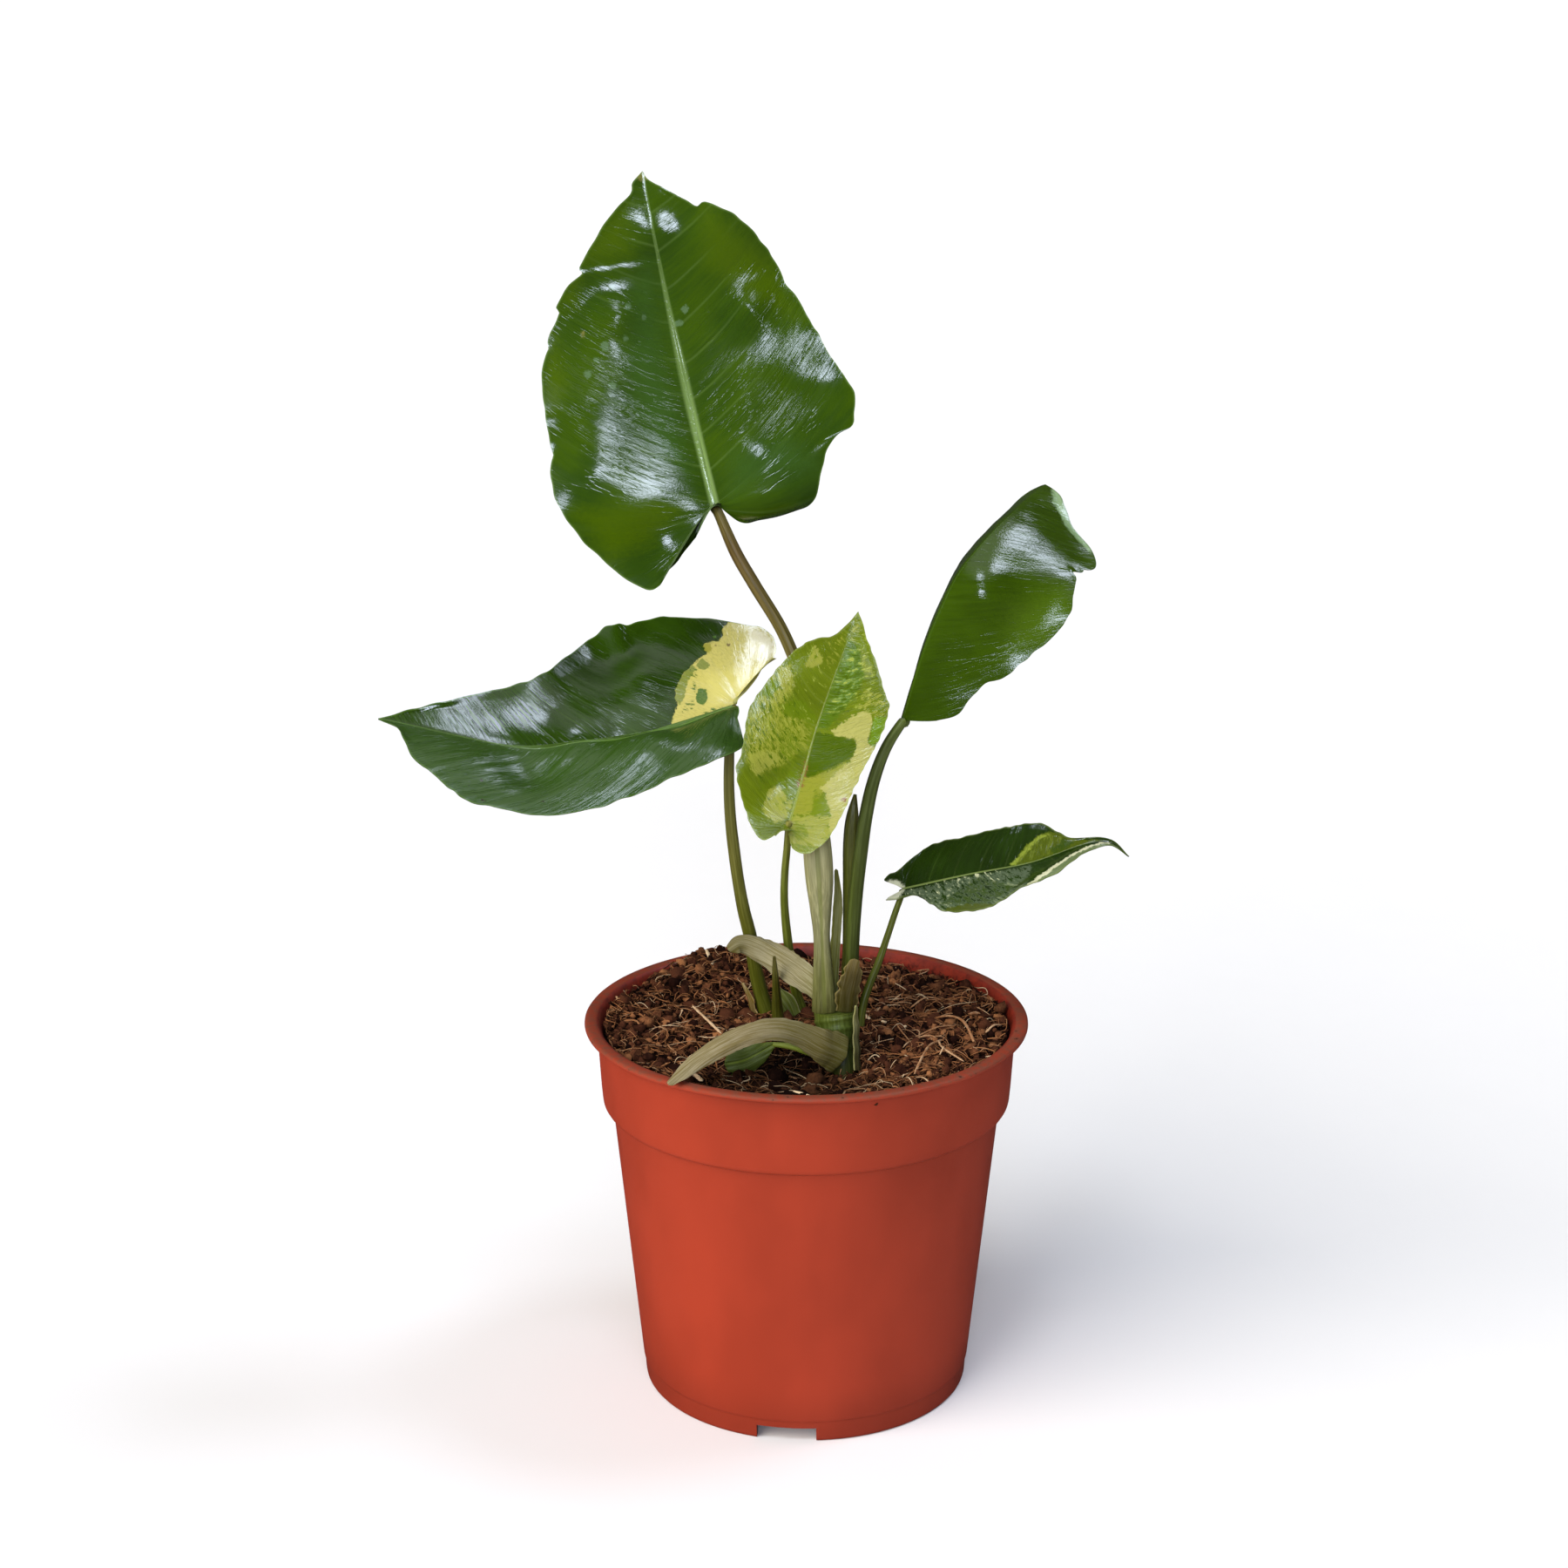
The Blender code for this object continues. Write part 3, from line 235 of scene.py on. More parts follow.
                [(1.4, 0.4), (4.6, 0.1), (5.7, -1.9), (4.3, -3.8), (1.4, -3.1)],
                [(0, -6), (4, -4.6), (9, -4), (12, -1), (12, -8), (0, -8)]]),
            ("#878b35", 1, 0.5, 0.4, [
                [(3.6, 48.4), (6.4, 46.6), (9, 44), (7.9, 42), (5.5, 44.6)],
                [(8, 39), (13, 39.5), (17, 36.3), (14, 33.2), (8.4, 34)],
                [(0.3, 55), (1.6, 53), (1.6, 49), (0.3, 50)]]),
            ("#8f9a3c", 1, 0.57, 1.2, [[(0.5, 30), (0.5, 56), (4, 54), (9, 44), (12, 38), (8, 33)]]),
            ("#8f9a3c", -1, 0.60, 1.2, [[(-1, 22), (-1, 40), (-8, 46), (-10, 38), (-18, 30), (-18, 18)]]),
            ("#465c05", -1, -0.43, 0.8, [[(-1, 2), (-1, 24), (-10, 34), (-18, 30), (-18, 14), (-8, 4)]]),
            ("#3f5404", 1, -0.45, 0.8, [[(0.5, 26), (0.5, 50), (6, 44), (8, 36), (4, 28)]]),
            ("#526707", 1, -0.40, 0.8, [[(0.5, -7), (0.5, 11), (9, 8), (11, 0), (9, -7)]]),
            ("#77542c", 0, 0, 0.3, [(12.3, 9.9, 0.6), [(-0.5, 9), (-0.5, 16), (0.4, 16), (0.4, 9)]])],
    ),
    "right_leaf": dict(
        midrib=[(24.9, -12, 190.2), (31.1, -12, 212.4), (40.4, -8, 229.8), (51.6, 4, 240.6),
                (63.5, 24, 244.4)],
        facing=[(-0.55, -0.80, 0.20), (-0.35, -0.6, 0.7)],
        fold=(-62, -12), tip_fold=(-30, -12), arch=(-30, -25), reach=28, lobe_bend=(0, 0),
        wave=(0, 2),
        left=[(-11, 3), (-16, 7), (-21, 15), (-25, 26), (-27, 38), (-27, 50), (-24, 62),
              (-19, 71), (-11, 80), (0, 86.9)],
        right=[(8.5, 2.6), (13.5, 5.8), (16.1, 12), (18.8, 16), (22.6, 19), (24.9, 24.5),
               (27.6, 31.3), (29.9, 38.3), (30.2, 49), (25.5, 60.5), (27, 68.5), (22, 75),
               (12.6, 78.8), (6.1, 84), (0, 86.9)],
        rib="#344c08", rib_width=0.7, under="#5c7044", nerve=0.03,
        pebbled=0.3,
        hills=[(15, 65.6, -3.20, 10.5), (26, 71.2, -3.00, 6.4), (7.6, 40, 2.85, 5.6),
               (28.4, 45.4, -3.10, 12.7), (7, 84.1, 1.70, 13), (24.9, 32, -2.40, 10.6),
               (17.2, 16.3, -2.40, 8.6), (7, -2.5, 0.72, 13), (13.4, 78.1, -3.00, 7.4)],
        combed=[],
        creases=[((22, 62), (30, 61), 0.5, 1.4)], nicks=[(1, 61.5, 2.2, 1), (1, 64.5, 0.8, 0.7)],
        layers=[
            ("#7b9468", 1, 0, 0.5, [[(1, 88), (6, 84.5), (12.6, 79.5), (22, 76), (23, 73.5),
                                     (12, 76.5), (5, 81)]]),
            ("#41590a", 1, 0, 6, [[(24, 56), (32, 50), (31, 36), (22, 26), (16, 40)]])],
    ),
    "low_leaf": dict(
        midrib=[(25.7, -6, 142.3), (42.1, -12, 148.1), (57.7, -16, 152.7), (72.3, -16, 157.9),
                (79.2, -15, 158.2), (84.5, -14, 153.7)],
        facing=[(0, -0.62, 0.80), (0.1, -0.70, 0.70)],
        fold=(30, 18), tip_fold=(20, 30), arch=(-35, -30), reach=16, lobe_bend=(0, 0),
        wave=(0.3, 2),
        left=[(-2.3, -3.6), (-3.6, -5.5), (-4.7, -3.8), (-5.3, -1.2), (-7.2, 2.8), (-9.5, 6.8),
              (-10.8, 10.6), (-10.7, 17), (-10.9, 21.7), (-10.7, 32.1), (-10, 40.4), (-8.4, 42.9),
              (-5.1, 45.4), (-2.5, 48), (-1.2, 54), (0, 64.9)],
        right=[(2.6, -5), (3.2, -1), (3.6, 3.4), (6, 6.8), (9.2, 10.1), (11.7, 13.4), (12.7, 16.8),
               (13.1, 22.8), (12.6, 25.4), (11.1, 29.4), (8.5, 34), (6, 43.5), (2.2, 54), (0, 64.9)],
        rib="#6a7840", rib_width=0.7, under="#66745a", nerve=0.02, relief=0.35, combed=[],
        hills=[(-14, 51, -0.5, 12), (-11, 32, 0.4, 5), (-6, 38, -0.5, 5)],
        creases=[], nicks=[],
        layers=[
            ("#434f0a", -1, 0, 0.25, [[
                (0, 29.5), (-1.3, 32), (-3.5, 34), (-5.2, 36.6), (-6.2, 39.6), (-6.3, 42.2),
                (-5.9, 44), (-3.3, 46.8), (-1.4, 50), (0, 55)]]),
            ("#75822a", -1, 0, 0.3, [[
                (-0.6, 30.3), (-2.5, 33.2), (-4.9, 36.6), (-6.1, 40), (-6, 43), (-5.3, 42.6),
                (-5.3, 40.2), (-4.1, 37.4), (-1.9, 34.2), (-0.5, 31.7)]]),
            ("#54601a", -1, 0.54, 0.4, [[(-1, 32), (-5.4, 37.5), (-5.4, 43), (-2, 48), (-0.5, 44)]]),
            ("#2f4209", -1, 0.4, 0.3, [[
                (-2.2, 41.4), (-2.3, 44.4), (-3.1, 46.3), (-1.2, 48), (-0.4, 46.1), (0, 42.3)]]),
            ("#4a573f", 1, 0.45, 0.5, [[(1, 0), (14, 10), (14, 24), (9, 34), (1, 36)]]),
            ("#6e7858", 1, 0.56, 0.5, [[(1, 0), (14, 10), (14, 24), (9, 34), (1, 30)]]),
            ("#b9bb92", 1, 0.60, 0.6, [[(0, -2), (0, 28), (8, 27), (10, 14), (5, 4)]]),
            ("#2c3d10", 1, 0.5, 0.4, [[(2, 22), (8, 32), (12, 24), (9, 12), (6, 16)]]),
            ("#3d4712", 1, 0, 0.3, [[(10.9, 13.4), (14, 14), (14, 26), (12.6, 27), (11.5, 24),
                                     (10.8, 18)]]),
            ("#5d6b45", 1, 0, 0.3, [[
                (9.2, 33.2), (6.6, 36.5), (4.2, 41), (2.4, 46.5), (1.2, 52), (0.5, 58), (0.8, 66),
                (4, 58), (8, 46), (10, 38)]]),
            # Painted shadow: a dark strip along the inner side of the cream line
            ("#2b3a12", 1, 0, 0.4, [[
                (8.6, 32.2), (6, 35.4), (3.6, 40), (1.8, 45.5), (0.7, 51), (0.2, 51), (1.2, 45.3),
                (3, 39.6), (5.4, 34.6), (8, 31.2)]]),
            ("#b9b996", 1, 0, 0.2, [[
                (9.4, 33), (6.5, 36.2), (4.1, 40.8), (2.2, 46.3), (1, 52), (0.4, 58), (0.9, 58),
                (1.6, 52.3), (2.9, 46.8), (4.8, 41.5), (7.2, 37.1), (10, 34.2)]]),
            ("#c3c4a6", 0, 0, 0.5, [(0.5, -3.4, 3.6)])],
    ),
}
LOBE_RISE = 0.06     # share of the length below which a margin's veins all start at the stalk
LOBE_LENGTH = 20.0   # mm over which a lobe behind the stalk bends back
VEIN_SPREAD = 1.15   # how much closer the veins start near the stalk
VEIN_ARC = 1.2       # how much the rows of points arc towards the tip
NERVE_LEAN = 0.42    # rise of a nerve towards the tip where it leaves the midrib
NERVE_BOW = 0.35     # how much of that rise it gains out to the margin
RIB_ROUND = 0.9      # mm over which the fold at the midrib is rounded
STALK_STEPS = 32     # points round a stalk
STRAP_GRID = (90, 20)    # rows and columns of a bract or sheath
LARGE_LEAF = 80      # mm of midrib from which a blade gets the finer grid
LARGE_GRID = (200, 46)   # rows and columns of a large blade's half
SMALL_GRID = (170, 36)   # rows and columns of a small blade's half


def hex_rgb(code):
    """An sRGB hex colour as linear red, green and blue."""
    values = [int(code[start:start + 2], 16) / 255 for start in (1, 3, 5)]
    return [v / 12.92 if v <= 0.04045 else ((v + 0.055) / 1.055) ** 2.4 for v in values]


def colour_property(name, description, code):
    """A colour in a settings group."""
    return FloatVectorProperty(name=name, description=description, subtype="COLOR", size=3,
                               min=0, max=1, default=hex_rgb(code))


def green_property(leaf, tone, code):
    """One of the two greens of a leaf, in a settings group."""
    return colour_property(f"{leaf} leaf, {tone}", f"The {tone} green of this leaf", code)


def length_property(name, description, size):
    """A length in a settings group, from millimetres."""
    return FloatProperty(name=name, description=description, unit="LENGTH", min=0, soft_max=0.1,
                         precision=5, default=size * MM)


class PotSettings(bpy.types.PropertyGroup):
    steps: IntProperty(name="Steps", description="Steps round the pot", default=256, min=24)
    plastic: colour_property("Plastic", "Colour of the moulded pot", "#94311a")
    # The lip's colour stands for its scuffs and a painted sheen of the bright surroundings
    scuff_and_sheen: colour_property("Worn lip", "Colour of the scuffed flat lip", "#71402f")
    inside: colour_property("Inside", "Colour of the soiled inner wall", "#6f2417")
    wall: length_property("Wall", "Thickness of the wall", 1.2)
    gloss: FloatProperty(name="Roughness", description="Roughness of the plastic's skin",
                         default=0.5, min=0, max=1, subtype="FACTOR")


class SoilSettings(bpy.types.PropertyGroup):
    crumbs: IntProperty(name="Crumbs", description="Number of soil crumbs", default=5200, min=0)
    fibres: IntProperty(name="Fibres", description="Number of loose coir fibres", default=2300, min=0)
    crumb: length_property("Crumb", "Typical size of a crumb", 1.5)
    fibre: length_property("Fibre", "Thickness of a coir fibre", 0.26)
    dark: colour_property("Damp", "Colour of damp peat", "#1d0d08")
    middle: colour_property("Coir", "Colour of coir dust", "#4a2a1b")
    light: colour_property("Dry", "Colour of dry crumbs", "#91603c")
    straw: colour_property("Straw", "Colour of pale fibres and chips", "#d6bb94")


class LeafSettings(bpy.types.PropertyGroup):
    sheet: length_property("Blade", "Thickness of the blade", 0.55)
    edge: length_property("Margin", "Thickness at the margin", 0.28)
    rib: length_property("Rib", "How far the midrib stands out below", 1.5)
    veins: IntProperty(name="Veins", description="Side veins in each half", default=9, min=1)
    sunk: length_property("Sunk veins", "Depth of the side veins", 0.05)
    pillow: length_property("Pillows", "How far the blade swells between the veins", 0.07)
    swell: length_property("Swell", "Height of the blade's broad undulations", 0.16)
    gloss: FloatProperty(name="Roughness", description="Roughness of the leaf's waxy skin",
                         default=0.12, min=0, max=1, subtype="FACTOR")
    variegation: FloatProperty(name="Variegation", description="How clearly the pale patches show",
                               default=1.0, min=0, max=1, subtype="FACTOR")
    top_deep: green_property("Top", "deep", "#263e06")
    top_light: green_property("Top", "light", "#324a02")
    left_deep: green_property("Left", "deep", "#1d3202")
    left_light: green_property("Left", "light", "#263f04")
    front_deep: green_property("Front", "deep", "#505f06")
    front_light: green_property("Front", "light", "#62720d")
    right_deep: green_property("Right", "deep", "#273b00")
    right_light: green_property("Right", "light", "#314800")
    low_deep: green_property("Low", "deep", "#152404")
    low_light: green_property("Low", "light", "#1e3206")


class StalkSettings(bpy.types.PropertyGroup):
    groove: length_property("Grooves", "Depth of the fine lengthwise ridges", 0.07)
    bract: length_property("Bract", "Thickness of bracts and sheaths", 0.55)
    gloss: FloatProperty(name="Roughness", description="Roughness of the stalks' skin",
                         default=0.38, min=0, max=1, subtype="FACTOR")


class StageSettings(bpy.types.PropertyGroup):
    floor: colour_property("Floor", "Colour of the studio floor", "#f5f3ef")
    air: colour_property("Surroundings", "Colour of the light all around", "#ffffff")
    fill: FloatProperty(name="Fill", description="Strength of the dim light all around",
                        default=0.045, min=0)
    ceiling: FloatProperty(name="Ceiling", description="Strength of the light overhead",
                           default=0.70, min=0)
    key: FloatProperty(name="Key", description="Strength of the main light", default=4.1, min=0)
    key_turn: FloatProperty(name="Key direction", description="How far left of the camera it stands",
                            subtype="ANGLE", default=math.radians(50))
    key_rise: FloatProperty(name="Key height", description="Height of the main light",
                            subtype="ANGLE", default=math.radians(26))


def unit(v):
    """The vectors at length one, or untouched where they are nothing."""
    size = np.linalg.norm(v, axis=-1, keepdims=True)
    return v / np.where(size < 1e-9, 1, size)


def smooth(points, places):
    """Points on a smooth curve through the given ones, at places from 0 to 1 along it."""
    rows = np.asarray(points, float)
    rows = np.vstack([2 * rows[0] - rows[1], rows, 2 * rows[-1] - rows[-2]])
    spans = len(rows) - 3
    place = np.clip(np.asarray(places, float) * spans, 0, spans - 1e-6)
    index = place.astype(int)
    t = (place - index)[:, None]
    a, b, c, d = rows[index], rows[index + 1], rows[index + 2], rows[index + 3]
    return (2 * b + (c - a) * t + (2 * a - 5 * b + 4 * c - d) * t ** 2
            + (3 * b - a - 3 * c + d) * t ** 3) / 2


def step_up(value, low, high):
    """A smooth step from 0 at low to 1 at high."""
    share = np.clip((value - low) / (high - low), 0, 1)
    return share * share * (3 - 2 * share)


def ripple(x, y, size, seed, waves=11):
    """A smooth random field from about -1 to 1, with bumps about size across."""
    rng = np.random.default_rng(seed)
    total = 0.0
    for _ in range(waves):
        angle = rng.uniform(0, math.tau)
        length = size * rng.uniform(1.3, 3.2)
        shift = rng.uniform(0, math.tau)
        total = total + np.sin((x * math.cos(angle) + y * math.sin(angle)) * math.tau / length + shift)
    return total / math.sqrt(waves)


def grid_quads(rows, columns, wrap=False, start=0):
    """Corner numbers of the faces between the points of a grid, closed across where it wraps."""
    index = start + np.arange(rows * columns).reshape(rows, columns)
    if wrap:
        index = np.hstack([index, index[:, :1]])
    quads = np.stack([index[:-1, :-1], index[:-1, 1:], index[1:, 1:], index[1:, :-1]], axis=-1)
    return quads.reshape(-1, 4).tolist()


def seat_piece(name, data, nodes):
    """An object from a finished mesh, riding on the root body in place of its nodes."""
    piece = bpy.data.objects.new(name, data)
    bpy.context.scene.collection.objects.link(piece)
    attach(piece, ROOT)
    if nodes:
        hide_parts(*nodes)


def make_piece(name, verts, faces, paints, nodes, paint_index=None, notes=None, weld=0.0,
               sharp=60.0):
    """A piece from points in millimetres, with its materials and its notes for them."""
    data = bpy.data.meshes.new(name)
    data.from_pydata((np.asarray(verts) * MM).tolist(), [], faces)
    for key, values in (notes or {}).items():
        values = np.asarray(values, np.float32)
        kind, slot_name = ("FLOAT", "value") if values.ndim == 1 else ("FLOAT_VECTOR", "vector")
        data.attributes.new(key, kind, "POINT").data.foreach_set(slot_name, values.ravel())
    if paint_index is not None:
        data.polygons.foreach_set("material_index", paint_index)
    bm = bmesh.new()
    bm.from_mesh(data)
    if weld:
        bmesh.ops.remove_doubles(bm, verts=bm.verts, dist=weld * MM)
        bmesh.ops.dissolve_degenerate(bm, edges=bm.edges, dist=weld * MM * 0.5)
    bmesh.ops.triangulate(bm, faces=[f for f in bm.faces if len(f.verts) > 3])
    bmesh.ops.recalc_face_normals(bm, faces=bm.faces)
    bm.to_mesh(data)
    bm.free()
    data.shade_smooth()
    data.set_sharp_from_angle(angle=math.radians(sharp))
    for paint in paints:
        data.materials.append(paint)
    seat_piece(name, data, nodes)


# The setting that the word after a node's kind stands for
MODES = {"Math": "operation", "Mix": "data_type", "MapRange": "interpolation_type",
         "Attribute": "attribute_name"}
RAMP = "MapRange SMOOTHSTEP"     # a smooth change from one value to another
MIX = "Mix RGBA"                 # two colours blended by a share
TIMES = "Math MULTIPLY"


def add_node(tree, kind, *values, **named):
    """Add a node, set or link its sockets, and return its first live output.

    The kind may be followed by its mode, as in "Math MULTIPLY". Values go to the live sockets in
    order, and named ones to the socket of that name, with underscores for spaces."""
    kind, _, mode = kind.partition(" ")
    made = tree.nodes.new("ShaderNode" + kind)
    if mode:
        setattr(made, MODES[kind], mode)
    live = [socket for socket in made.inputs if socket.enabled]
    by_name = {socket.name.replace(" ", "_"): socket for socket in live}
    chosen = [*zip(live, values), *((by_name[name], value) for name, value in named.items())]
    for socket, value in chosen:
        if isinstance(value, bpy.types.NodeSocket):
            tree.links.new(value, socket)
        elif socket.type == "RGBA":
            socket.default_value = (*value[:3], 1)
        else:
            socket.default_value = value
    return next((socket for socket in made.outputs if socket.enabled), None)


def new_material(name):
    """An empty node material, and the helper that adds nodes to it."""
    made = bpy.data.materials.new(name)
    made.use_nodes = True
    made.node_tree.nodes.clear()
    return made, partial(add_node, made.node_tree)


def finish_material(add, **looks):
    """Close a material with one Principled shader, its looks named as its sockets are."""
    add("OutputMaterial", add("BsdfPrincipled", **looks))


def leaf_green(add, name, length, flat, vein, seed):
    """The blade's green: broad drifts from deep to light, streaks and pale side veins."""
    look = bpy.context.scene.philodendron_leaves
    form = LEAVES[name]
    # Drifts 18 mm wide, and streaks about 1 mm wide and 14 mm long, as strips of cells share a tone
    place = add("Mapping", flat, (seed, 0, 0), Scale=(1 / 18.18, 1 / 18.18, 0))
    drift = add("TexNoise", place, Scale=1)
    place = add("Mapping", vein, (0, seed, 0), Scale=(1 / 1.111, 1 / 14.29, 0))
    streak = add("TexNoise", place, Scale=1, Detail=4, Roughness=0.6)
    drift = add(TIMES, drift, 0.7)
    share = add("Math MULTIPLY_ADD", streak, 0.5, drift)
    share = add(RAMP, share, 0.42, 0.78)
    leaf = name.split("_")[0]
    deep, light = getattr(look, leaf + "_deep")[:], getattr(look, leaf + "_light")[:]
    green = add(MIX, share, deep, light)
    parts = add("SeparateXYZ", vein).node.outputs
    near = add(TIMES, parts["X"], look.veins / length)
    near = add("Math PINGPONG", near, 0.5)
    line = add(RAMP, near, 0.005, 0.06, 1, 0)
    fade = add(RAMP, parts["Y"], 1, form["reach"], form["nerve"] * 3, form["nerve"] * 0.5)
    share = add(TIMES, line, fade)
    return add(MIX, share, green, hex_rgb(form["rib"]))


def leaf_layers(add, form, colour, flat, vein, seed):
    """The blade's patches over its green: cells that lack green, in torn flecks along the veins."""
    # Borders torn in bays of 1.25 mm, and flecks 1.4 mm wide and 3.3 mm long, as seen up close
    place = add("Mapping", flat, (seed, seed, 0), Scale=(1 / 1.25, 1 / 1.25, 0))
    wander = add("TexNoise", place, Scale=1, Detail=6, Roughness=0.72)
    wander = add("Math SUBTRACT", wander, 0.5)
    place = add("Mapping", vein, (seed, 2, 0), Scale=(1 / 1.4286, 1 / 3.333, 0))
    fleck = add("TexNoise", place, Scale=1, Detail=5, Roughness=0.72)
    # Mottling, drawn no finer than 0.45 mm, since single cells would not show
    wide, high = form.get("grain", (0.4545, 1.111))
    place = add("Mapping", vein, (2, seed, 0), Scale=(1 / wide, 1 / high, 0))
    grain = add("TexNoise", place, Scale=1, Detail=5, Roughness=0.7)
    most = bpy.context.scene.philodendron_leaves.variegation
    calm = add(RAMP, grain, 0.40, 0.54, 0.82 * most, most)
    least = (1 - form.get("mottle", 0.3)) * most
    mottle = add(RAMP, grain, 0.42, 0.54, least, most)
    for index, (code, _, broken, soft, _) in enumerate(form["layers"]):
        depth = add(f"Attribute patch_{index}").node.outputs["Fac"]
        depth = add("Math MULTIPLY_ADD", wander, form.get("torn", 2.2) + soft, depth)
        mask = add(RAMP, depth, -soft, soft)
        if broken:
            edge = math.copysign(0.02, broken)
            parts = add(RAMP, fleck, abs(broken) - edge, abs(broken) + edge)
            mask = add(TIMES, mask, parts)
        share = add(TIMES, mask, mottle if broken else calm)
        colour = add(MIX, share, colour, hex_rgb(code))
    return colour


def leaf_base(material, name, length, seed):
    """A new material with the blade's greens and patches, and where on the blade a point lies."""
    made, add = new_material(material)
    flat = add("Attribute flat").node.outputs["Vector"]
    vein = add("Attribute vein").node.outputs["Vector"]
    colour = leaf_green(add, name, length, flat, vein, seed)
    return made, add, flat, vein, leaf_layers(add, LEAVES[name], colour, flat, vein, seed)


def leaf_upper(name, length, seed):
    """Living leaf, upper side, grown: wax over green cells, so it looks wet and mirrors the window
    in streaks along the veins, with a paler rib and torn patches that lack green."""
    look = bpy.context.scene.philodendron_leaves
    form = LEAVES[name]
    made, add, flat, vein, colour = leaf_base("living_leaf_" + name, name, length, seed)
    place = add("SeparateXYZ", flat).node.outputs
    across, along = place["X"], place["Y"]
    rim = add("SeparateXYZ", vein).node.outputs["Z"]
    border = add(RAMP, rim, 0.1, 0.55, 0.45, 0)
    colour = add(MIX, border, colour, hex_rgb(form["rib"]))
    wide = add(RAMP, along, 0, length, form["rib_width"] / 2, form["rib_width"] / 7)
    beside = add("Math DIVIDE", add("Math ABSOLUTE", across), wide)
    rib = add(RAMP, beside, 0.5, 1.25, 1, 0)
    strength = add(RAMP, along, 0, length, 0.95, 0.35)
    rib = add(TIMES, rib, strength)
    behind = add(RAMP, along, -1.5, -0.2)
    rib = add(TIMES, rib, behind)
    colour = add(MIX, rib, colour, hex_rgb(form["rib"]))
    # Fine ridges between nerves 1 mm apart and 11 mm long, and cells drawn 0.6 mm wide so they show
    place = add("Mapping", vein, Scale=(1, 1 / 11.11, 0))
    ridges = add("TexNoise", place, Scale=1, Detail=5, Roughness=0.62)
    combed = add("Attribute combed").node.outputs["Fac"]
    combed = add(RAMP, combed, -3, 5, 0.25, 0.9)
    cells = add("TexNoise", flat, Scale=1 / 0.5882, Detail=3)
    height = add(TIMES, ridges, combed)
    height = add("Math MULTIPLY_ADD", cells, form.get("pebbled", 0.12), height)
    # Creases 2.4 mm apart and 22 mm long, where the blade was rolled up
    place = add("Mapping", vein, (3, seed, 0), Scale=(1 / 2.381, 1 / 22.22, 0))
    wrinkle = add("TexNoise", place, Scale=1, Detail=3, Roughness=0.6)
    wrinkle = add("Math ABSOLUTE", add("Math SUBTRACT", wrinkle, 0.5))
    wrinkle = add(RAMP, wrinkle, 0, 0.035)
    wrinkle = add(TIMES, wrinkle, combed)
    height = add("Math MULTIPLY_ADD", wrinkle, 0.40, height)
    bump = add("Bump", Strength=1, Distance=0.15 * MM, Height=height)
    rough = add(RAMP, ridges, 0.2, 0.8, look.gloss - 0.04, look.gloss + 0.05)
    finish_material(add, Base_Color=colour, Roughness=rough, Normal=bump, IOR=1.5,
                    Specular_IOR_Level=0.65)
    return made


def leaf_under(name, length, seed):
    """Living leaf, underside, grown: paler and duller than the upper side, with raised veins."""
    made, add, _, vein, colour = leaf_base("living_leaf_underside_" + name, name, length, seed)
    colour = add(MIX, 0.45, colour, hex_rgb(LEAVES[name]["under"]))
    # Raised nerves 0.8 mm apart and 10 mm long
    place = add("Mapping", vein, Scale=(1 / 0.7692, 1 / 10, 0))
    ridges = add("TexNoise", place, Scale=1, Detail=4, Roughness=0.62)
    bump = add("Bump", Strength=1, Distance=0.2 * MM, Height=ridges)
    finish_material(add, Base_Color=colour, Roughness=0.5, Normal=bump, IOR=1.45)
    return made


class LeafForm:
    """Places points of a leaf drawn flat onto its folded, arched form in space."""

    def __init__(self, form):
        self.form = form
        self.path = smooth(form["midrib"], np.linspace(0, 1, 601))
        steps = np.linalg.norm(np.diff(self.path, axis=0), axis=1)
        self.along = np.concatenate([[0], np.cumsum(steps)])
        self.length = self.along[-1]

    def midrib_point(self, y):
        """The midrib's points at lengths from the stalk."""
        y = np.clip(y, 0, self.length)
        return np.stack([np.interp(y, self.along, self.path[:, k]) for k in range(3)], axis=-1)

    def frame(self, y):
        """Origin, forward, sideways and facing vectors at lengths along the midrib."""
        y = np.clip(y, 0, self.length)
        span = self.form.get("turning", 1.6)
        forward = unit(self.midrib_point(y + span) - self.midrib_point(y - span))
        first, last = [np.array(v, float) for v in self.form["facing"]]
        share = (y / self.length)[..., None]
        wanted = first * (1 - share) + last * share
        out = unit(wanted - np.sum(wanted * forward, axis=-1, keepdims=True) * forward)
        return self.midrib_point(y), forward, np.cross(forward, out), out

    def place(self, x, y, half):
        """The points in space of flat points x across and y along the midrib, in one half."""
        form = self.form
        origin, forward, side, out = self.frame(y)
        share = np.clip(y, 0, self.length) / self.length
        fold = np.radians(form["fold"][half] * (1 - share) + form["tip_fold"][half] * share)
        curve = math.radians(form["arch"][half]) / form["reach"]
        bend = math.radians(form["lobe_bend"][half] + 0.01) / LOBE_LENGTH
        turn = (bend * np.maximum(-y, 0))[..., None]
        origin = origin - forward * np.sin(turn) / bend - out * (1 - np.cos(turn)) / bend
        out = out * np.cos(turn) - forward * np.sin(turn)
        u = np.abs(x)
        soft = np.sqrt(u ** 2 + RIB_ROUND ** 2) - RIB_ROUND
        reach = (np.sin(fold + curve * u) - np.sin(fold)) / curve
        rise = (np.cos(fold) - np.cos(fold + curve * soft)) / curve
        size, count = form["wave"]
        swing = np.sin(math.tau * count * y / self.length + 1.3 * (1 - half))
        rise = rise + size * (u / form["reach"]) ** 2 * swing
        return origin + side * (reach if half else -reach)[..., None] + out * rise[..., None]


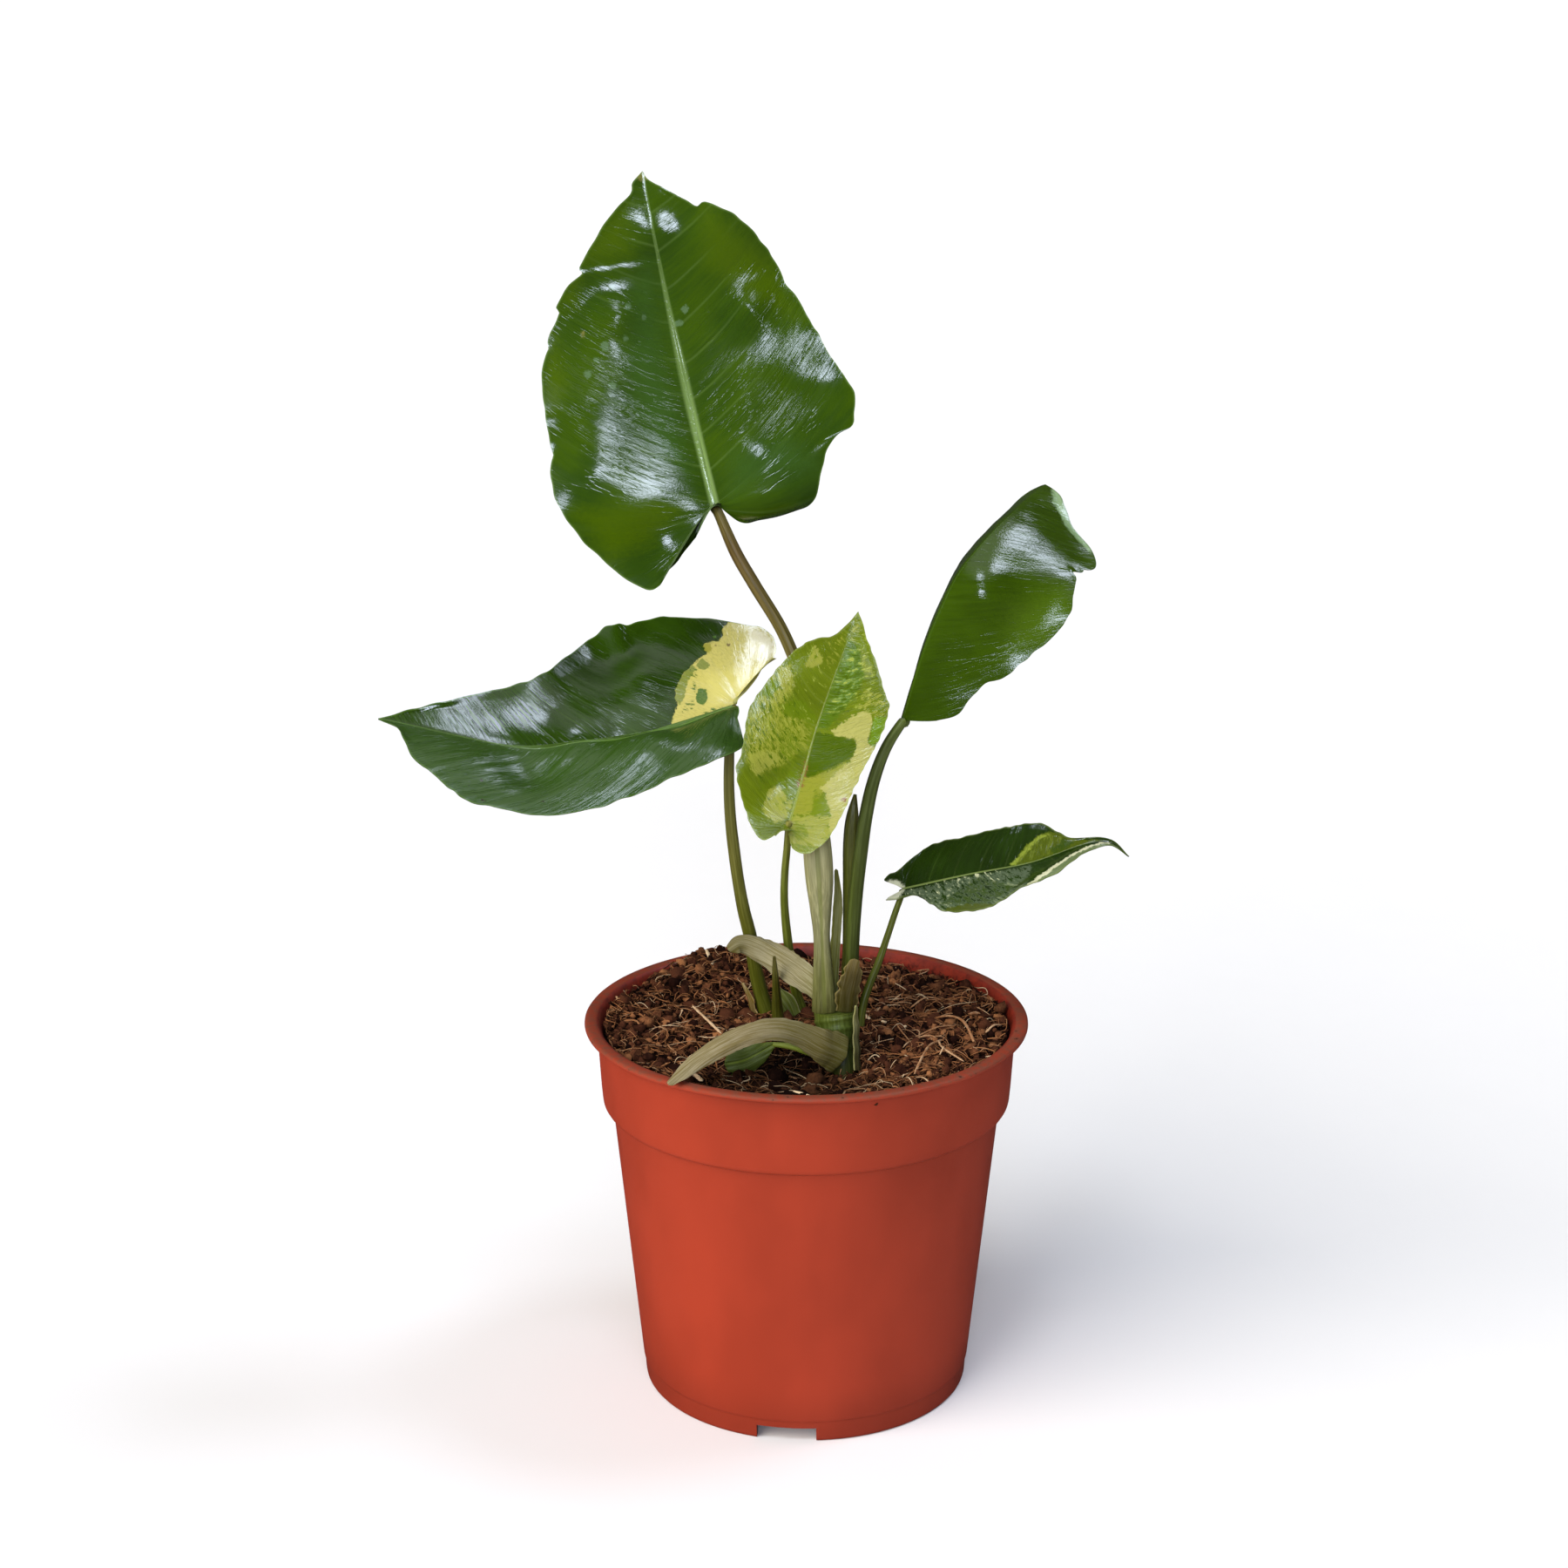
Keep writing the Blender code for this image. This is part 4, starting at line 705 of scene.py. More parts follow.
def nerve_place(x, y, reach, lean):
    """Where along the midrib the nerve through a point starts, and how far out along it one is.

    Nerves arc towards the tip. Those of the lobes spread like a fan from the stalk."""
    u = np.abs(x)
    bow = lean * u + NERVE_BOW / reach * u ** 2
    start = y - bow
    fan = start * 15 / (u + 2)
    return np.where(start > 0, start, fan), np.hypot(u, np.minimum(bow, y))


def hill_lift(x, y, hills):
    """Height of the broad rises and hollows on a leaf."""
    total = np.zeros_like(x)
    for cx, cy, height, radius in hills:
        total += height * np.exp(-((x - cx) ** 2 + (y - cy) ** 2) / (2 * radius ** 2))
    return total


def patch_depth(x, y, patches, half):
    """How far inside the nearest of a layer's patches each point lies, in mm, less than 0 outside."""
    best = np.full(x.shape, -50.0)
    for patch in patches:
        if np.ndim(patch) == 1:
            best = np.maximum(best, patch[2] - np.hypot(x - patch[0], y - patch[1]))
            continue
        away = np.full(x.shape, 50.0)
        inside = np.zeros(x.shape, bool)
        for (ax, ay), (bx, by) in zip(patch, patch[1:] + patch[:1]):
            ex, ey = bx - ax, by - ay
            share = np.clip(((x - ax) * ex + (y - ay) * ey) / (ex * ex + ey * ey), 0, 1)
            away = np.minimum(away, np.hypot(x - ax - share * ex, y - ay - share * ey))
            spans = (ay > y) != (by > y)
            inside ^= spans & (x < ex * (y - ay) / (ey if ey else 1e-9) + ax)
        best = np.maximum(best, np.where(inside, away, -away))
    return np.minimum(best, half * x * 3 - 0.1) if half else best


def crease_lift(x, y, creases):
    """Height of the sharp folds drawn on a leaf: each (start, end, height, width)."""
    total = np.zeros_like(x)
    for (ax, ay), (bx, by), height, width in creases:
        length = math.hypot(bx - ax, by - ay)
        along = ((x - ax) * (bx - ax) + (y - ay) * (by - ay)) / length
        off = ((x - ax) * (by - ay) - (y - ay) * (bx - ax)) / length
        ends = step_up(along, -2, 2) * step_up(along, length + 3, length - 1)
        total += height * ends * off / width * np.exp(-(off / width) ** 2)
    return total


def leaf_half(shape, half, rows, columns, look, seed):
    """One half of a blade: its points, facing, relief, thickness and shader notes."""
    form = shape.form
    margin = form["right"] if half else form["left"]
    sign = 1 if half else -1
    stretch = margin[-1][1] / shape.length
    v = np.linspace(0, 1, rows + 1)
    course = smooth([(x, y / stretch) for x, y in margin], np.linspace(0, 1, 2001))
    steps = np.linalg.norm(np.diff(course, axis=0), axis=1)
    run = np.concatenate([[0], np.cumsum(steps)]) / np.sum(steps)
    tip_x, tip_y = np.interp(v, run, course[:, 0]), np.interp(v, run, course[:, 1])
    lobe = v[np.argmax(tip_y > LOBE_RISE * shape.length)]
    for where, y0, depth, width in form["nicks"]:
        if where == half:
            bite = depth * np.exp(-((tip_y - y0) / width) ** 2)
            tip_x = tip_x - sign * bite * step_up(np.abs(tip_x), 1, 4)
    tip_x = tip_x + 0.16 * ripple(v * 100, 0 * v, 2.2, seed + half) * step_up(np.abs(tip_x), 1, 6)
    root = shape.length * np.maximum(0, (v - lobe) / (1 - lobe)) ** VEIN_SPREAD
    t = np.append(np.linspace(0, 1, columns) ** 1.25 * 0.985, 1.0)
    x = tip_x[:, None] * t
    y = root[:, None] + (tip_y - root)[:, None] * t ** VEIN_ARC
    points = shape.place(x, y, half)
    _, _, _, facing = shape.frame(root)
    facing = np.broadcast_to(facing[:, None, :], points.shape)
    normal = unit(np.cross(np.gradient(points, axis=1), np.gradient(points, axis=0)))
    turned = np.sign(np.sum(normal * facing, axis=-1, keepdims=True) + 1e-9)
    normal = normal * np.where(y[..., None] < 0, np.sign(np.nansum(turned)), turned)
    bad = ~np.isfinite(normal).all(axis=-1) | (np.linalg.norm(normal, axis=-1) < 0.5)
    normal[bad] = facing[bad]
    keep = step_up(np.abs(x), 0.2, 2.0)[..., None]
    normal = unit(normal * keep + facing * (1 - keep))
    length = np.hypot(tip_x, tip_y - root)[:, None]
    out = t * length
    start, run = nerve_place(x, y, form["reach"], form.get("lean", NERVE_LEAN))
    start = start + 60 * half
    phase = start * look.veins / shape.length
    near = np.abs((phase + 0.5) % 1 - 0.5)
    away = step_up(out, 0.5, 4)
    fade = away * (1 - 0.6 * t) * step_up(length - out, 0.5, 6)
    sunk = np.exp(-(near / 0.075) ** 2) * fade
    lift = -look.sunk / MM * sunk
    lift = lift + look.pillow / MM * (1 - np.cos(math.tau * phase)) / 2 * away * (1 - t * 0.5)
    lift = lift * form.get("relief", 1)
    lift = lift + look.swell / MM * ripple(x, y, 11, seed + 5) * step_up(out, 1, 14) * 0.8
    combed = step_up(patch_depth(x, y, form["combed"], 0), -3, 5)
    lift = lift + (0.012 + 0.035 * combed) * ripple(start, run * 0.15, 1.3, seed + 9) * away
    lift = lift + form.get("bands", 0) * combed * ripple(start, run * 0.12, 2.4, seed + 11) * away
    lift = lift + hill_lift(x, y, form["hills"])
    lift = lift + 0.35 * ripple(v[:, None] * 60 + 0 * t, 0 * x, 6, seed + 3) * step_up(t, 0.8, 1.0) * away
    lift = lift + crease_lift(x, y, form["creases"])
    along = np.clip(y / shape.length, 0, 1)
    channel = np.exp(-(x / (0.8 * form["rib_width"] * (1.15 - along))) ** 2)
    lift = lift - 0.12 * channel * (1 - along)
    thick = (look.sheet + (look.edge - look.sheet) * step_up(t, 0.55, 1.0)) / MM
    bulge = np.exp(-(x / (0.75 * form["rib_width"] * (1.2 - along))) ** 2)
    thick = thick + look.rib / MM * (1 - along) ** 0.8 * bulge * form["rib_width"] / 1.7
    thick = thick + 0.16 * np.exp(-(near / 0.06) ** 2) * fade
    flat = np.stack([x, y, 0 * x], axis=-1)
    vein = np.stack([start, run, length - out], axis=-1)
    return points, normal, lift, thick, flat, vein


def make_leaf(name, seed):
    """One blade as a thin closed body with its own upper side and underside."""
    look = bpy.context.scene.philodendron_leaves
    form = LEAVES[name]
    shape = LeafForm(form)
    rows, columns = LARGE_GRID if shape.length > LARGE_LEAF else SMALL_GRID
    left = leaf_half(shape, 0, rows, columns, look, seed)
    right = leaf_half(shape, 1, rows, columns, look, seed)
    points, normal, lift, thick, flat, vein = [
        np.concatenate([a[:, ::-1], b[:, 1:]], axis=1) for a, b in zip(left, right)]
    top = points + normal * lift[..., None]
    bottom = top - normal * thick[..., None]
    ring = np.concatenate([top, bottom[:, ::-1]], axis=1)
    flat = np.concatenate([flat, flat[:, ::-1]], axis=1)
    vein = np.concatenate([vein, vein[:, ::-1]], axis=1)
    count = ring.shape[1]
    notes = {"flat": flat.reshape(-1, 3), "vein": vein.reshape(-1, 3)}
    notes["combed"] = patch_depth(flat[..., 0], flat[..., 1], form["combed"], 0).ravel()
    for number, (_, side, _, _, patches) in enumerate(form["layers"]):
        notes[f"patch_{number}"] = patch_depth(flat[..., 0], flat[..., 1], patches, side).ravel()
    faces = grid_quads(len(ring), count, wrap=True)
    below = np.tile((np.arange(count) >= count // 2).astype(int), len(ring) - 1)
    cap = [(k, k + 1, count - 2 - k, count - 1 - k) for k in range(count // 2 - 1)]
    index = np.concatenate([below, np.ones(len(cap), int)])
    paints = [leaf_upper(name, shape.length, seed), leaf_under(name, shape.length, seed)]
    make_piece(name, ring.reshape(-1, 3), faces + cap, paints,
               ["blade_" + name], paint_index=index, weld=0.004, notes=notes)


# The pot, as in the solids, in millimetres
POT_HEIGHT = 104.3
STEP_HEIGHT = 80.8        # where the collar steps out
STEP_RADIUS = 52.8
BASE_RADIUS = 44.6
COLLAR_FOOT_RADIUS = 55.4
COLLAR_RADIUS = 56.6
LIP_RADIUS = 59           # past which a point is on the lip
DRAIN_PLACE = 32          # radius on which the drain holes lie
NOTCH_PLACE = 43.6        # radius of the notches in the foot
NOTCH_TURN = math.radians(-97)   # the notch that the photo shows
SOIL_LEVEL = 100.5


def wall_radius(height, wall):
    """The pot's inner radius at a height, below and above the collar's step."""
    if height < STEP_HEIGHT:
        return BASE_RADIUS + (STEP_RADIUS - BASE_RADIUS) * height / STEP_HEIGHT - wall
    rise = (height - STEP_HEIGHT) / (POT_HEIGHT - STEP_HEIGHT)
    return COLLAR_FOOT_RADIUS + (COLLAR_RADIUS - COLLAR_FOOT_RADIUS) * rise - wall


def pot_profile(wall):
    """The pot's section, from the middle of its floor over the lip to the middle of its foot."""
    inner = [
        (0, 1.4), (17.2, 1.4), (17.7, 1.6), (18.6, 5.7), (19.2, 5.9), (30, 5.9),
        (wall_radius(5.9, wall) - 1.8, 5.9), (wall_radius(6.4, wall) - 0.5, 6.3),
        (wall_radius(7.6, wall), 7.6), (wall_radius(30, wall), 30), (wall_radius(55, wall), 55),
        (wall_radius(79.2, wall), 79.2), (wall_radius(79.6, wall) + 0.4, 79.9),
        (wall_radius(82.6, wall) - 0.5, 81.9), (wall_radius(82.6, wall), 82.6),
        (wall_radius(90, wall), 90), (wall_radius(97, wall), 97), (wall_radius(102, wall), 102),
        (55.8, 103.2), (56.1, 103.8), (56.7, 104.15),
    ]
    lip = [
        (57.4, 104.3), (58.4, 104.3), (59.3, 104.25), (59.75, 104.05), (59.97, 103.75),
        (60, 103.4), (59.9, 103.1), (59.6, 102.92),
    ]
    outer = [
        (58.2, 102.8), (57.2, 102.7), (56.75, 102.45), (56.6, 101.9), (56.35, 97), (56.0, 91),
        (55.7, 86), (55.42, 82.7), (55.3, 82.0), (55.0, 81.5), (54.5, 81.15), (53.9, 80.95),
        (53.2, 80.85), (52.85, 80.6), (52.72, 80.1), (50.1, 54), (47.6, 29), (45.35, 6.6),
        (45.28, 6.2), (45.05, 5.9), (44.95, 5.6), (44.65, 1.2), (44.5, 0.5), (44.15, 0.1),
        (43.8, 0), (43.3, 0), (43.1, 0.15), (43.0, 4.2), (42.6, 4.5), (20.4, 4.5), (19.9, 4.2),
        (19.3, 0.2), (18.9, 0), (0, 0),
    ]
    return inner, lip, outer


def carve(data, cutters):
    """The mesh with the cutters' volumes taken out of it."""
    rough = bpy.data.objects.new("carving", data)
    bpy.context.scene.collection.objects.link(rough)
    for tool in cutters:
        modifier = rough.modifiers.new(tool.name, "BOOLEAN")
        modifier.operation = "DIFFERENCE"
        modifier.object = tool
    graph = bpy.context.evaluated_depsgraph_get()
    result = bpy.data.meshes.new_from_object(rough.evaluated_get(graph))
    for old in [rough, *cutters]:
        bpy.data.objects.remove(old, do_unlink=True)
    return result


def cutter(name, shape, size, centre, angle=0.0):
    """A round or square block in millimetres for carving."""
    bm = bmesh.new()
    if shape == "round":
        bmesh.ops.create_cone(bm, cap_ends=True, segments=36, radius1=1, radius2=1, depth=1)
    else:
        bmesh.ops.create_cube(bm, size=1)
    turn = Matrix.Translation(Vector(centre) * MM) @ Matrix.Rotation(angle, 4, "Z")
    turn = turn @ Matrix.Diagonal((*[s * MM for s in size], 1))
    bmesh.ops.transform(bm, matrix=turn, verts=bm.verts)
    data = bpy.data.meshes.new(name)
    bm.to_mesh(data)
    bm.free()
    made = bpy.data.objects.new(name, data)
    bpy.context.scene.collection.objects.link(made)
    return made


def pot_plastic():
    """Moulded polypropylene: a slightly chalky satin skin with faint flow marks, scuffed and with a
    painted pale sheen on the lip, dusted with soil near the rim, and darkened at its foot by painted
    shade."""
    look = bpy.context.scene.philodendron_pot
    made, add = new_material("moulded_polypropylene")
    place = add("TexCoord").node.outputs["Object"]
    # Flow marks 26 mm wide and 50 mm high, from the melt running up the wall
    flow = add("Mapping", place, Scale=[1 / (s * MM) for s in (26.32, 26.32, 50)])
    cloud = add("TexNoise", flow, Scale=1, Detail=3, Roughness=0.55)
    # Scuffs 2.4 mm across, and a skin drawn at 1.1 mm, as its real 0.1 mm grain would not show
    scuff = add("TexNoise", place, Scale=1 / (2.381 * MM), Detail=3, Roughness=0.65)
    skin = add("TexNoise", place, Scale=1 / (1.111 * MM))
    tint = add(RAMP, cloud, 0.3, 0.7)
    lighter = [min(1, c * 1.10) for c in look.plastic]
    darker = [c * 0.93 for c in look.plastic]
    colour = add(MIX, tint, darker, lighter)
    height = add("SeparateXYZ", place).node.outputs["Z"]
    # Painted shade: the colour darkens towards the foot
    foot = add(RAMP, height, 1 * MM, 18 * MM, 0.35, 0)
    colour = add(MIX, foot, colour, hex_rgb("#5c1d10"))
    on_lip = add(RAMP, height, 103.2 * MM, 104.0 * MM)
    # Painted sheen and scuffs on the flat lip
    scuff_and_sheen = add(RAMP, scuff, 0.35, 0.65, 0.35, 0.9)
    colour = add(MIX, add(TIMES, on_lip, scuff_and_sheen), colour, look.scuff_and_sheen[:])
    dust = add(TIMES, add(RAMP, scuff, 0.66, 0.72), on_lip)
    colour = add(MIX, dust, colour, hex_rgb("#3a1c12"))
    bump = add("Bump", Strength=0.5, Distance=0.03 * MM, Height=skin)
    rough = add(RAMP, cloud, 0.3, 0.7, look.gloss - 0.04, look.gloss + 0.06)
    finish_material(add, Base_Color=colour, Roughness=rough, Normal=bump, IOR=1.49,
                    Specular_IOR_Level=0.2)
    return made


def pot_inside():
    """The same plastic inside: darker and redder than outside, with smears, and flecked with dirt near
    the soil.
    """
    look = bpy.context.scene.philodendron_pot
    made, add = new_material("soiled_polypropylene")
    place = add("TexCoord").node.outputs["Object"]
    # Smears 6 mm wide and 17 mm high, and flecks of dirt 1.6 mm across
    down = add("Mapping", place, Scale=[1 / (s * MM) for s in (6.25, 6.25, 16.67)])
    smear = add("TexNoise", down, Scale=1, Detail=4, Roughness=0.65)
    fleck = add("TexNoise", place, Scale=1 / (1.613 * MM), Detail=3, Roughness=0.6)
    smear = add(RAMP, smear, 0.35, 0.7)
    colour = add(MIX, smear, look.inside[:], hex_rgb("#8a2c1a"))
    height = add("SeparateXYZ", place).node.outputs["Z"]
    low = add(RAMP, height, 104 * MM, 99.5 * MM)
    low = add(RAMP, low, 0, 1, 0.25, 1)
    dirt = add(TIMES, add(RAMP, fleck, 0.52, 0.6), low)
    colour = add(MIX, dirt, colour, hex_rgb("#24100a"))
    bump = add("Bump", Strength=0.8, Distance=0.12 * MM, Height=fleck)
    finish_material(add, Base_Color=colour, Roughness=0.5, Normal=bump, IOR=1.49)
    return made


def make_pot():
    """The moulded pot, with rounded corners, drain holes and notches in its foot."""
    look = bpy.context.scene.philodendron_pot
    inner, lip, outer = pot_profile(look.wall / MM)
    section = np.array(inner + lip + outer)
    turn = np.linspace(0, math.tau, look.steps, endpoint=False)
    sag = 1 + 0.0011 * np.sin(2 * turn + 0.6) + 0.0007 * np.sin(3 * turn + 2.0)
    radius = section[:, :1] * (1 + (sag - 1) * step_up(section[:, 1:], 60, 104))
    nick = np.exp(-((turn - 4.05) / 0.012) ** 2) + np.exp(-((turn - 5.32) / 0.01) ** 2)
    radius = radius - 0.35 * nick * (section[:, :1] > LIP_RADIUS)
    points = np.stack([radius * np.cos(turn), radius * np.sin(turn),
                       section[:, 1:] + 0 * turn], axis=-1)
    data = bpy.data.meshes.new("pot_shape")
    data.from_pydata((points.reshape(-1, 3) * MM).tolist(), [],
                     grid_quads(len(section), look.steps, wrap=True))
    inside = (np.arange(len(section) - 1) < len(inner) - 1).astype(int)
    data.polygons.foreach_set("material_index", np.repeat(inside, look.steps))
    bm = bmesh.new()
    bm.from_mesh(data)
    bmesh.ops.remove_doubles(bm, verts=bm.verts, dist=0.003 * MM)
    bmesh.ops.recalc_face_normals(bm, faces=bm.faces)
    bm.to_mesh(data)
    bm.free()
    data.materials.append(pot_plastic())
    data.materials.append(pot_inside())
    holes = []
    for index in range(6):
        angle = math.tau * index / 6
        centre = (DRAIN_PLACE * math.cos(angle), DRAIN_PLACE * math.sin(angle), 5)
        holes.append(cutter(f"drain_{index}", "round", (3.5, 3.5, 6), centre))
    for index in range(3):
        angle = NOTCH_TURN + math.tau * index / 3
        centre = (NOTCH_PLACE * math.cos(angle), NOTCH_PLACE * math.sin(angle), 0)
        holes.append(cutter(f"notch_{index}", "square", (5, 16, 8), centre, angle))
    data = carve(data, holes)
    data.shade_smooth()
    data.set_sharp_from_angle(angle=math.radians(50))
    seat_piece("moulded_pot", data, ["pot"])


# Heaps and the hollow of the soil: height, place across and back, and spread, in millimetres
HEAPS = [(5.5, -24, 42, 13), (2.0, -50, 8, 14), (2.0, 50, 6, 14), (-5.0, 0, -27, 13)]


def soil_height(x, y):
    """Height of the soil: heaped at the back left, hollow in front of the main stem."""
    height = SOIL_LEVEL + 0 * x
    for peak, cx, cy, spread in HEAPS:
        height = height + peak * np.exp(-((x - cx) ** 2 + (y - cy) ** 2) / (2 * spread ** 2))
    height = height + 0.5 * np.sin(0.42 * x + 1.3) * np.cos(0.37 * y)
    return height + 0.4 * np.sin(0.23 * x - 0.51 * y)


def soil_matter(name, dark, middle, light, crumb):
    """Potting mix of peat and coir, crumbled: matt and dark brown, each crumb in its own tone.

    Crumb is the size in millimetres of the flecks on it, drawn coarser than peat dust so they show."""
    made, add = new_material(name)
    tone = add("Attribute tone").node.outputs["Vector"]
    tones = add("SeparateXYZ", tone).node.outputs
    place = add("TexCoord").node.outputs["Object"]
    fleck = add("TexNoise", place, Scale=1 / (crumb * MM), Detail=4, Roughness=0.7)
    share = add("Math SUBTRACT", tones["X"], 0.35)
    share = add("Math MULTIPLY_ADD", fleck, 0.7, share)
    colour = add(MIX, add(RAMP, share, 0, 0.45), dark, middle)
    colour = add(MIX, add(RAMP, share, 0.45, 1), colour, light)
    # Painted shade: the second tone darkens the colour towards near black
    colour = add(MIX, tones["Y"], colour, hex_rgb("#070302"))
    bump = add("Bump", Strength=1, Distance=0.25 * MM, Height=fleck)
    finish_material(add, Base_Color=colour, Roughness=0.9, Normal=bump, Specular_IOR_Level=0.06)
    return made


def soil_shade(points):
    """Painted shade on the soil at points: dark in its gaps, in the hollow before the stem and in front.
    """
    x, y, z = points[..., 0], points[..., 1], points[..., 2]
    # Painted shade: deeper the further a point lies below the soil's surface, in the hollow and in front
    gap = step_up(soil_height(x, y) + 0.45 - z, 0, 1.5) * 0.95
    hollow = step_up(1.4 - np.hypot((x + 5) / 15, (y + 19) / 11), 0, 0.8)
    front = 0.7 * step_up(1.5 - np.hypot((x + 6) / 22, (y + 40) / 16), 0, 0.8)
    return np.clip(np.maximum(gap, np.maximum(hollow, front)), 0, 0.95)


def lump_points(level):
    """The corners and faces of a round lump."""
    bm = bmesh.new()
    bmesh.ops.create_icosphere(bm, subdivisions=level, radius=1)
    verts = np.array([v.co[:] for v in bm.verts])
    faces = np.array([[v.index for v in f.verts] for f in bm.faces])
    bm.free()
    return verts, faces


def soil_edge():
    """Radius to which the soil reaches at the top."""
    return wall_radius(SOIL_LEVEL, 1.2) - 0.5


def scatter(rng, count, edge):
    """Even random places in a circle."""
    radius = edge * np.sqrt(rng.random(count))
    angle = rng.random(count) * math.tau
    return radius * np.cos(angle), radius * np.sin(angle)


def make_crumbs(name, count, level, size, seed, sink):
    """Lumps of soil, each with its own shape, turn, size and tone."""
    look = bpy.context.scene.philodendron_soil
    rng = np.random.default_rng(seed)
    verts, faces = lump_points(level)
    x, y = scatter(rng, count, soil_edge() - 0.4)
    scale = size * np.exp(rng.normal(0, 0.38, count))[:, None] * rng.uniform(0.55, 1.35, (count, 3)) / 2
    turn = np.linalg.qr(rng.normal(size=(count, 3, 3)))[0]
    jitter = 1 + rng.uniform(-0.34, 0.34, (count, len(verts), 1))
    points = np.einsum("kij,kvj->kvi", turn, verts * scale[:, None, :] * jitter)
    z = soil_height(x, y) + rng.uniform(-sink, 0.55, count) * size
    points += np.stack([x, y, z], axis=1)[:, None, :]
    tone = np.repeat(np.clip(rng.normal(0.38, 0.30, count), 0, 1), len(verts))
    # The second tone is painted shade: darker in gaps, the hollow and in front
    tone = np.stack([tone, soil_shade(points).ravel(), 0 * tone], axis=-1)
    index = faces + (np.arange(count) * len(verts))[:, None, None]
    paint = soil_matter(name + "_mix", look.dark[:], look.middle[:], look.light[:], 1.111)
    make_piece(name, points.reshape(-1, 3), index.reshape(-1, 3).tolist(), [paint], [],
               notes={"tone": tone}, sharp=75)


def make_fibres(name, count, length, thick, seed, tones, curl, lift):
    """Loose curled fibres lying on the soil, each a thin three-sided strand."""
    look = bpy.context.scene.philodendron_soil
    rng = np.random.default_rng(seed)
    segments = 9
    x, y = scatter(rng, count, soil_edge() - 1)
    heading = rng.uniform(0, math.tau, count)
    bend = rng.normal(0, curl, count)
    span = length * np.exp(rng.normal(0, 0.45, count))
    s = np.linspace(0, 1, segments)
    wobble = rng.normal(0, 0.5, (count, 1)) * np.sin(s * rng.uniform(3, 9, (count, 1)))
    angle = heading[:, None] + bend[:, None] * s + wobble
    step = span[:, None] / (segments - 1)
    px = x[:, None] + np.cumsum(np.cos(angle) * step, axis=1)
    py = y[:, None] + np.cumsum(np.sin(angle) * step, axis=1)
    away = np.hypot(px, py)
    inward = np.minimum(1, (soil_edge() - 0.4) / np.maximum(away, 1e-6))
    px, py = px * inward, py * inward
    arch = rng.uniform(0, lift, (count, 1)) * np.sin(s * math.pi) + rng.uniform(0.2, 1.0, (count, 1))
    tip = rng.normal(0, 0.35, (count, 1)) * s ** 2 * lift
    pz = soil_height(px, py) + arch + np.abs(tip)
    course = np.stack([px, py, pz], axis=-1)
    forward = unit(np.gradient(course, axis=1))
    side = unit(np.cross(forward, np.array([0, 0, 1.0]) + rng.normal(0, 0.2, (count, 1, 3))))
    up = np.cross(side, forward)
    radius = thick * np.exp(rng.normal(0, 0.35, (count, 1))) / 2 * (1 - 0.75 * np.abs(2 * s - 1) ** 4)
    rings = []
    for corner in range(3):
        a = math.tau * corner / 3
        rings.append(course + (side * math.cos(a) + up * math.sin(a)) * radius[..., None])
    points = np.stack(rings, axis=2)
    quads = np.array(grid_quads(segments, 3, wrap=True))
    index = quads[None] + (np.arange(count) * segments * 3)[:, None, None]
    ends = np.array([[0, 1, 2], [3 * segments - 1, 3 * segments - 2, 3 * segments - 3]])
    caps = ends[None] + (np.arange(count) * segments * 3)[:, None, None]
    faces = index.reshape(-1, 4).tolist() + caps.reshape(-1, 3).tolist()
    tone = np.repeat(rng.uniform(*tones, count), segments * 3)
    # The second tone is painted shade, a little weaker on the fibres
    tone = np.stack([tone, soil_shade(points).ravel() * 0.8, 0 * tone], axis=-1)
    paint = soil_matter(name + "_coir", look.dark[:], look.light[:], look.straw[:], 3.333)
    make_piece(name, points.reshape(-1, 3), faces, [paint], [], notes={"tone": tone},
               sharp=180)


# Splinters, roots and chips that lie on the soil: points along them, width, thickness, tone
CHIPS = {
    "pale_splinter": ([(-31, 7.4, 104), (-27, -1.5, 103.6), (-22.8, -11.2, 103.2)], 0.9, 0.6, 0.75),
    "bark_splinter": ([(-28.2, 43.3, 107.6), (-26.2, 34, 106.6)], 1, 0.5, 0.95),
    "left_splinter": ([(-52.5, 16, 103.6), (-49.5, 9, 103.6)], 0.7, 0.5, 0.7),
    "white_sliver": ([(-4.6, -45, 100.6), (-1.6, -48.5, 101.3), (1.6, -52, 101.6)], 0.9, 0.5, 1),
    "tan_curl": ([(-13, -51, 101.2), (-10.4, -53, 102.3), (-7.5, -51.2, 101.2)], 1.3, 0.5, 0.85),
    "yellow_chip": ([(-30.7, -36.5, 101.6), (-29, -38.5, 102.2), (-27, -41, 101.6)], 1.5, 0.6, 0.8),
    "white_chip": ([(14, 6.6, 102), (15.4, 5.3, 102.6), (17.4, 2.6, 102)], 1.3, 0.5, 0.95),
    "right_root": ([(27.9, -35, 101.2), (30.5, -26.5, 103), (32.8, -19.5, 103.2),
                    (36.6, -12.6, 102)], 0.7, 0.6, 0.62),
    "right_rootlet": ([(35.2, -15.3, 102.6), (36, -23, 103.6), (41.1, -28.4, 102)], 0.6, 0.5, 0.66),
    "grey_twig": ([(35.2, 1.6, 102.8), (39.3, -1.4, 104.4), (42.6, -7, 104.6), (44.8, -19, 102.8)],
                  0.8, 0.6, 0.55),
    "grey_fibre": ([(28.8, 10.4, 102.4), (33.1, 14.5, 103.8), (37.4, 15.9, 102.8)], 0.6, 0.4, 0.6),
    "edge_twig": ([(48.1, -9.9, 103), (50.4, -7.3, 104), (52.6, -4.6, 103)], 0.7, 0.5, 0.7),
    "small_speck": ([(20.6, 0.6, 102.2), (21.6, -0.8, 102.4)], 0.9, 0.6, 0.9),
    "second_speck": ([(26, -2.8, 102), (27, -4, 102.4)], 0.8, 0.6, 0.85),
}


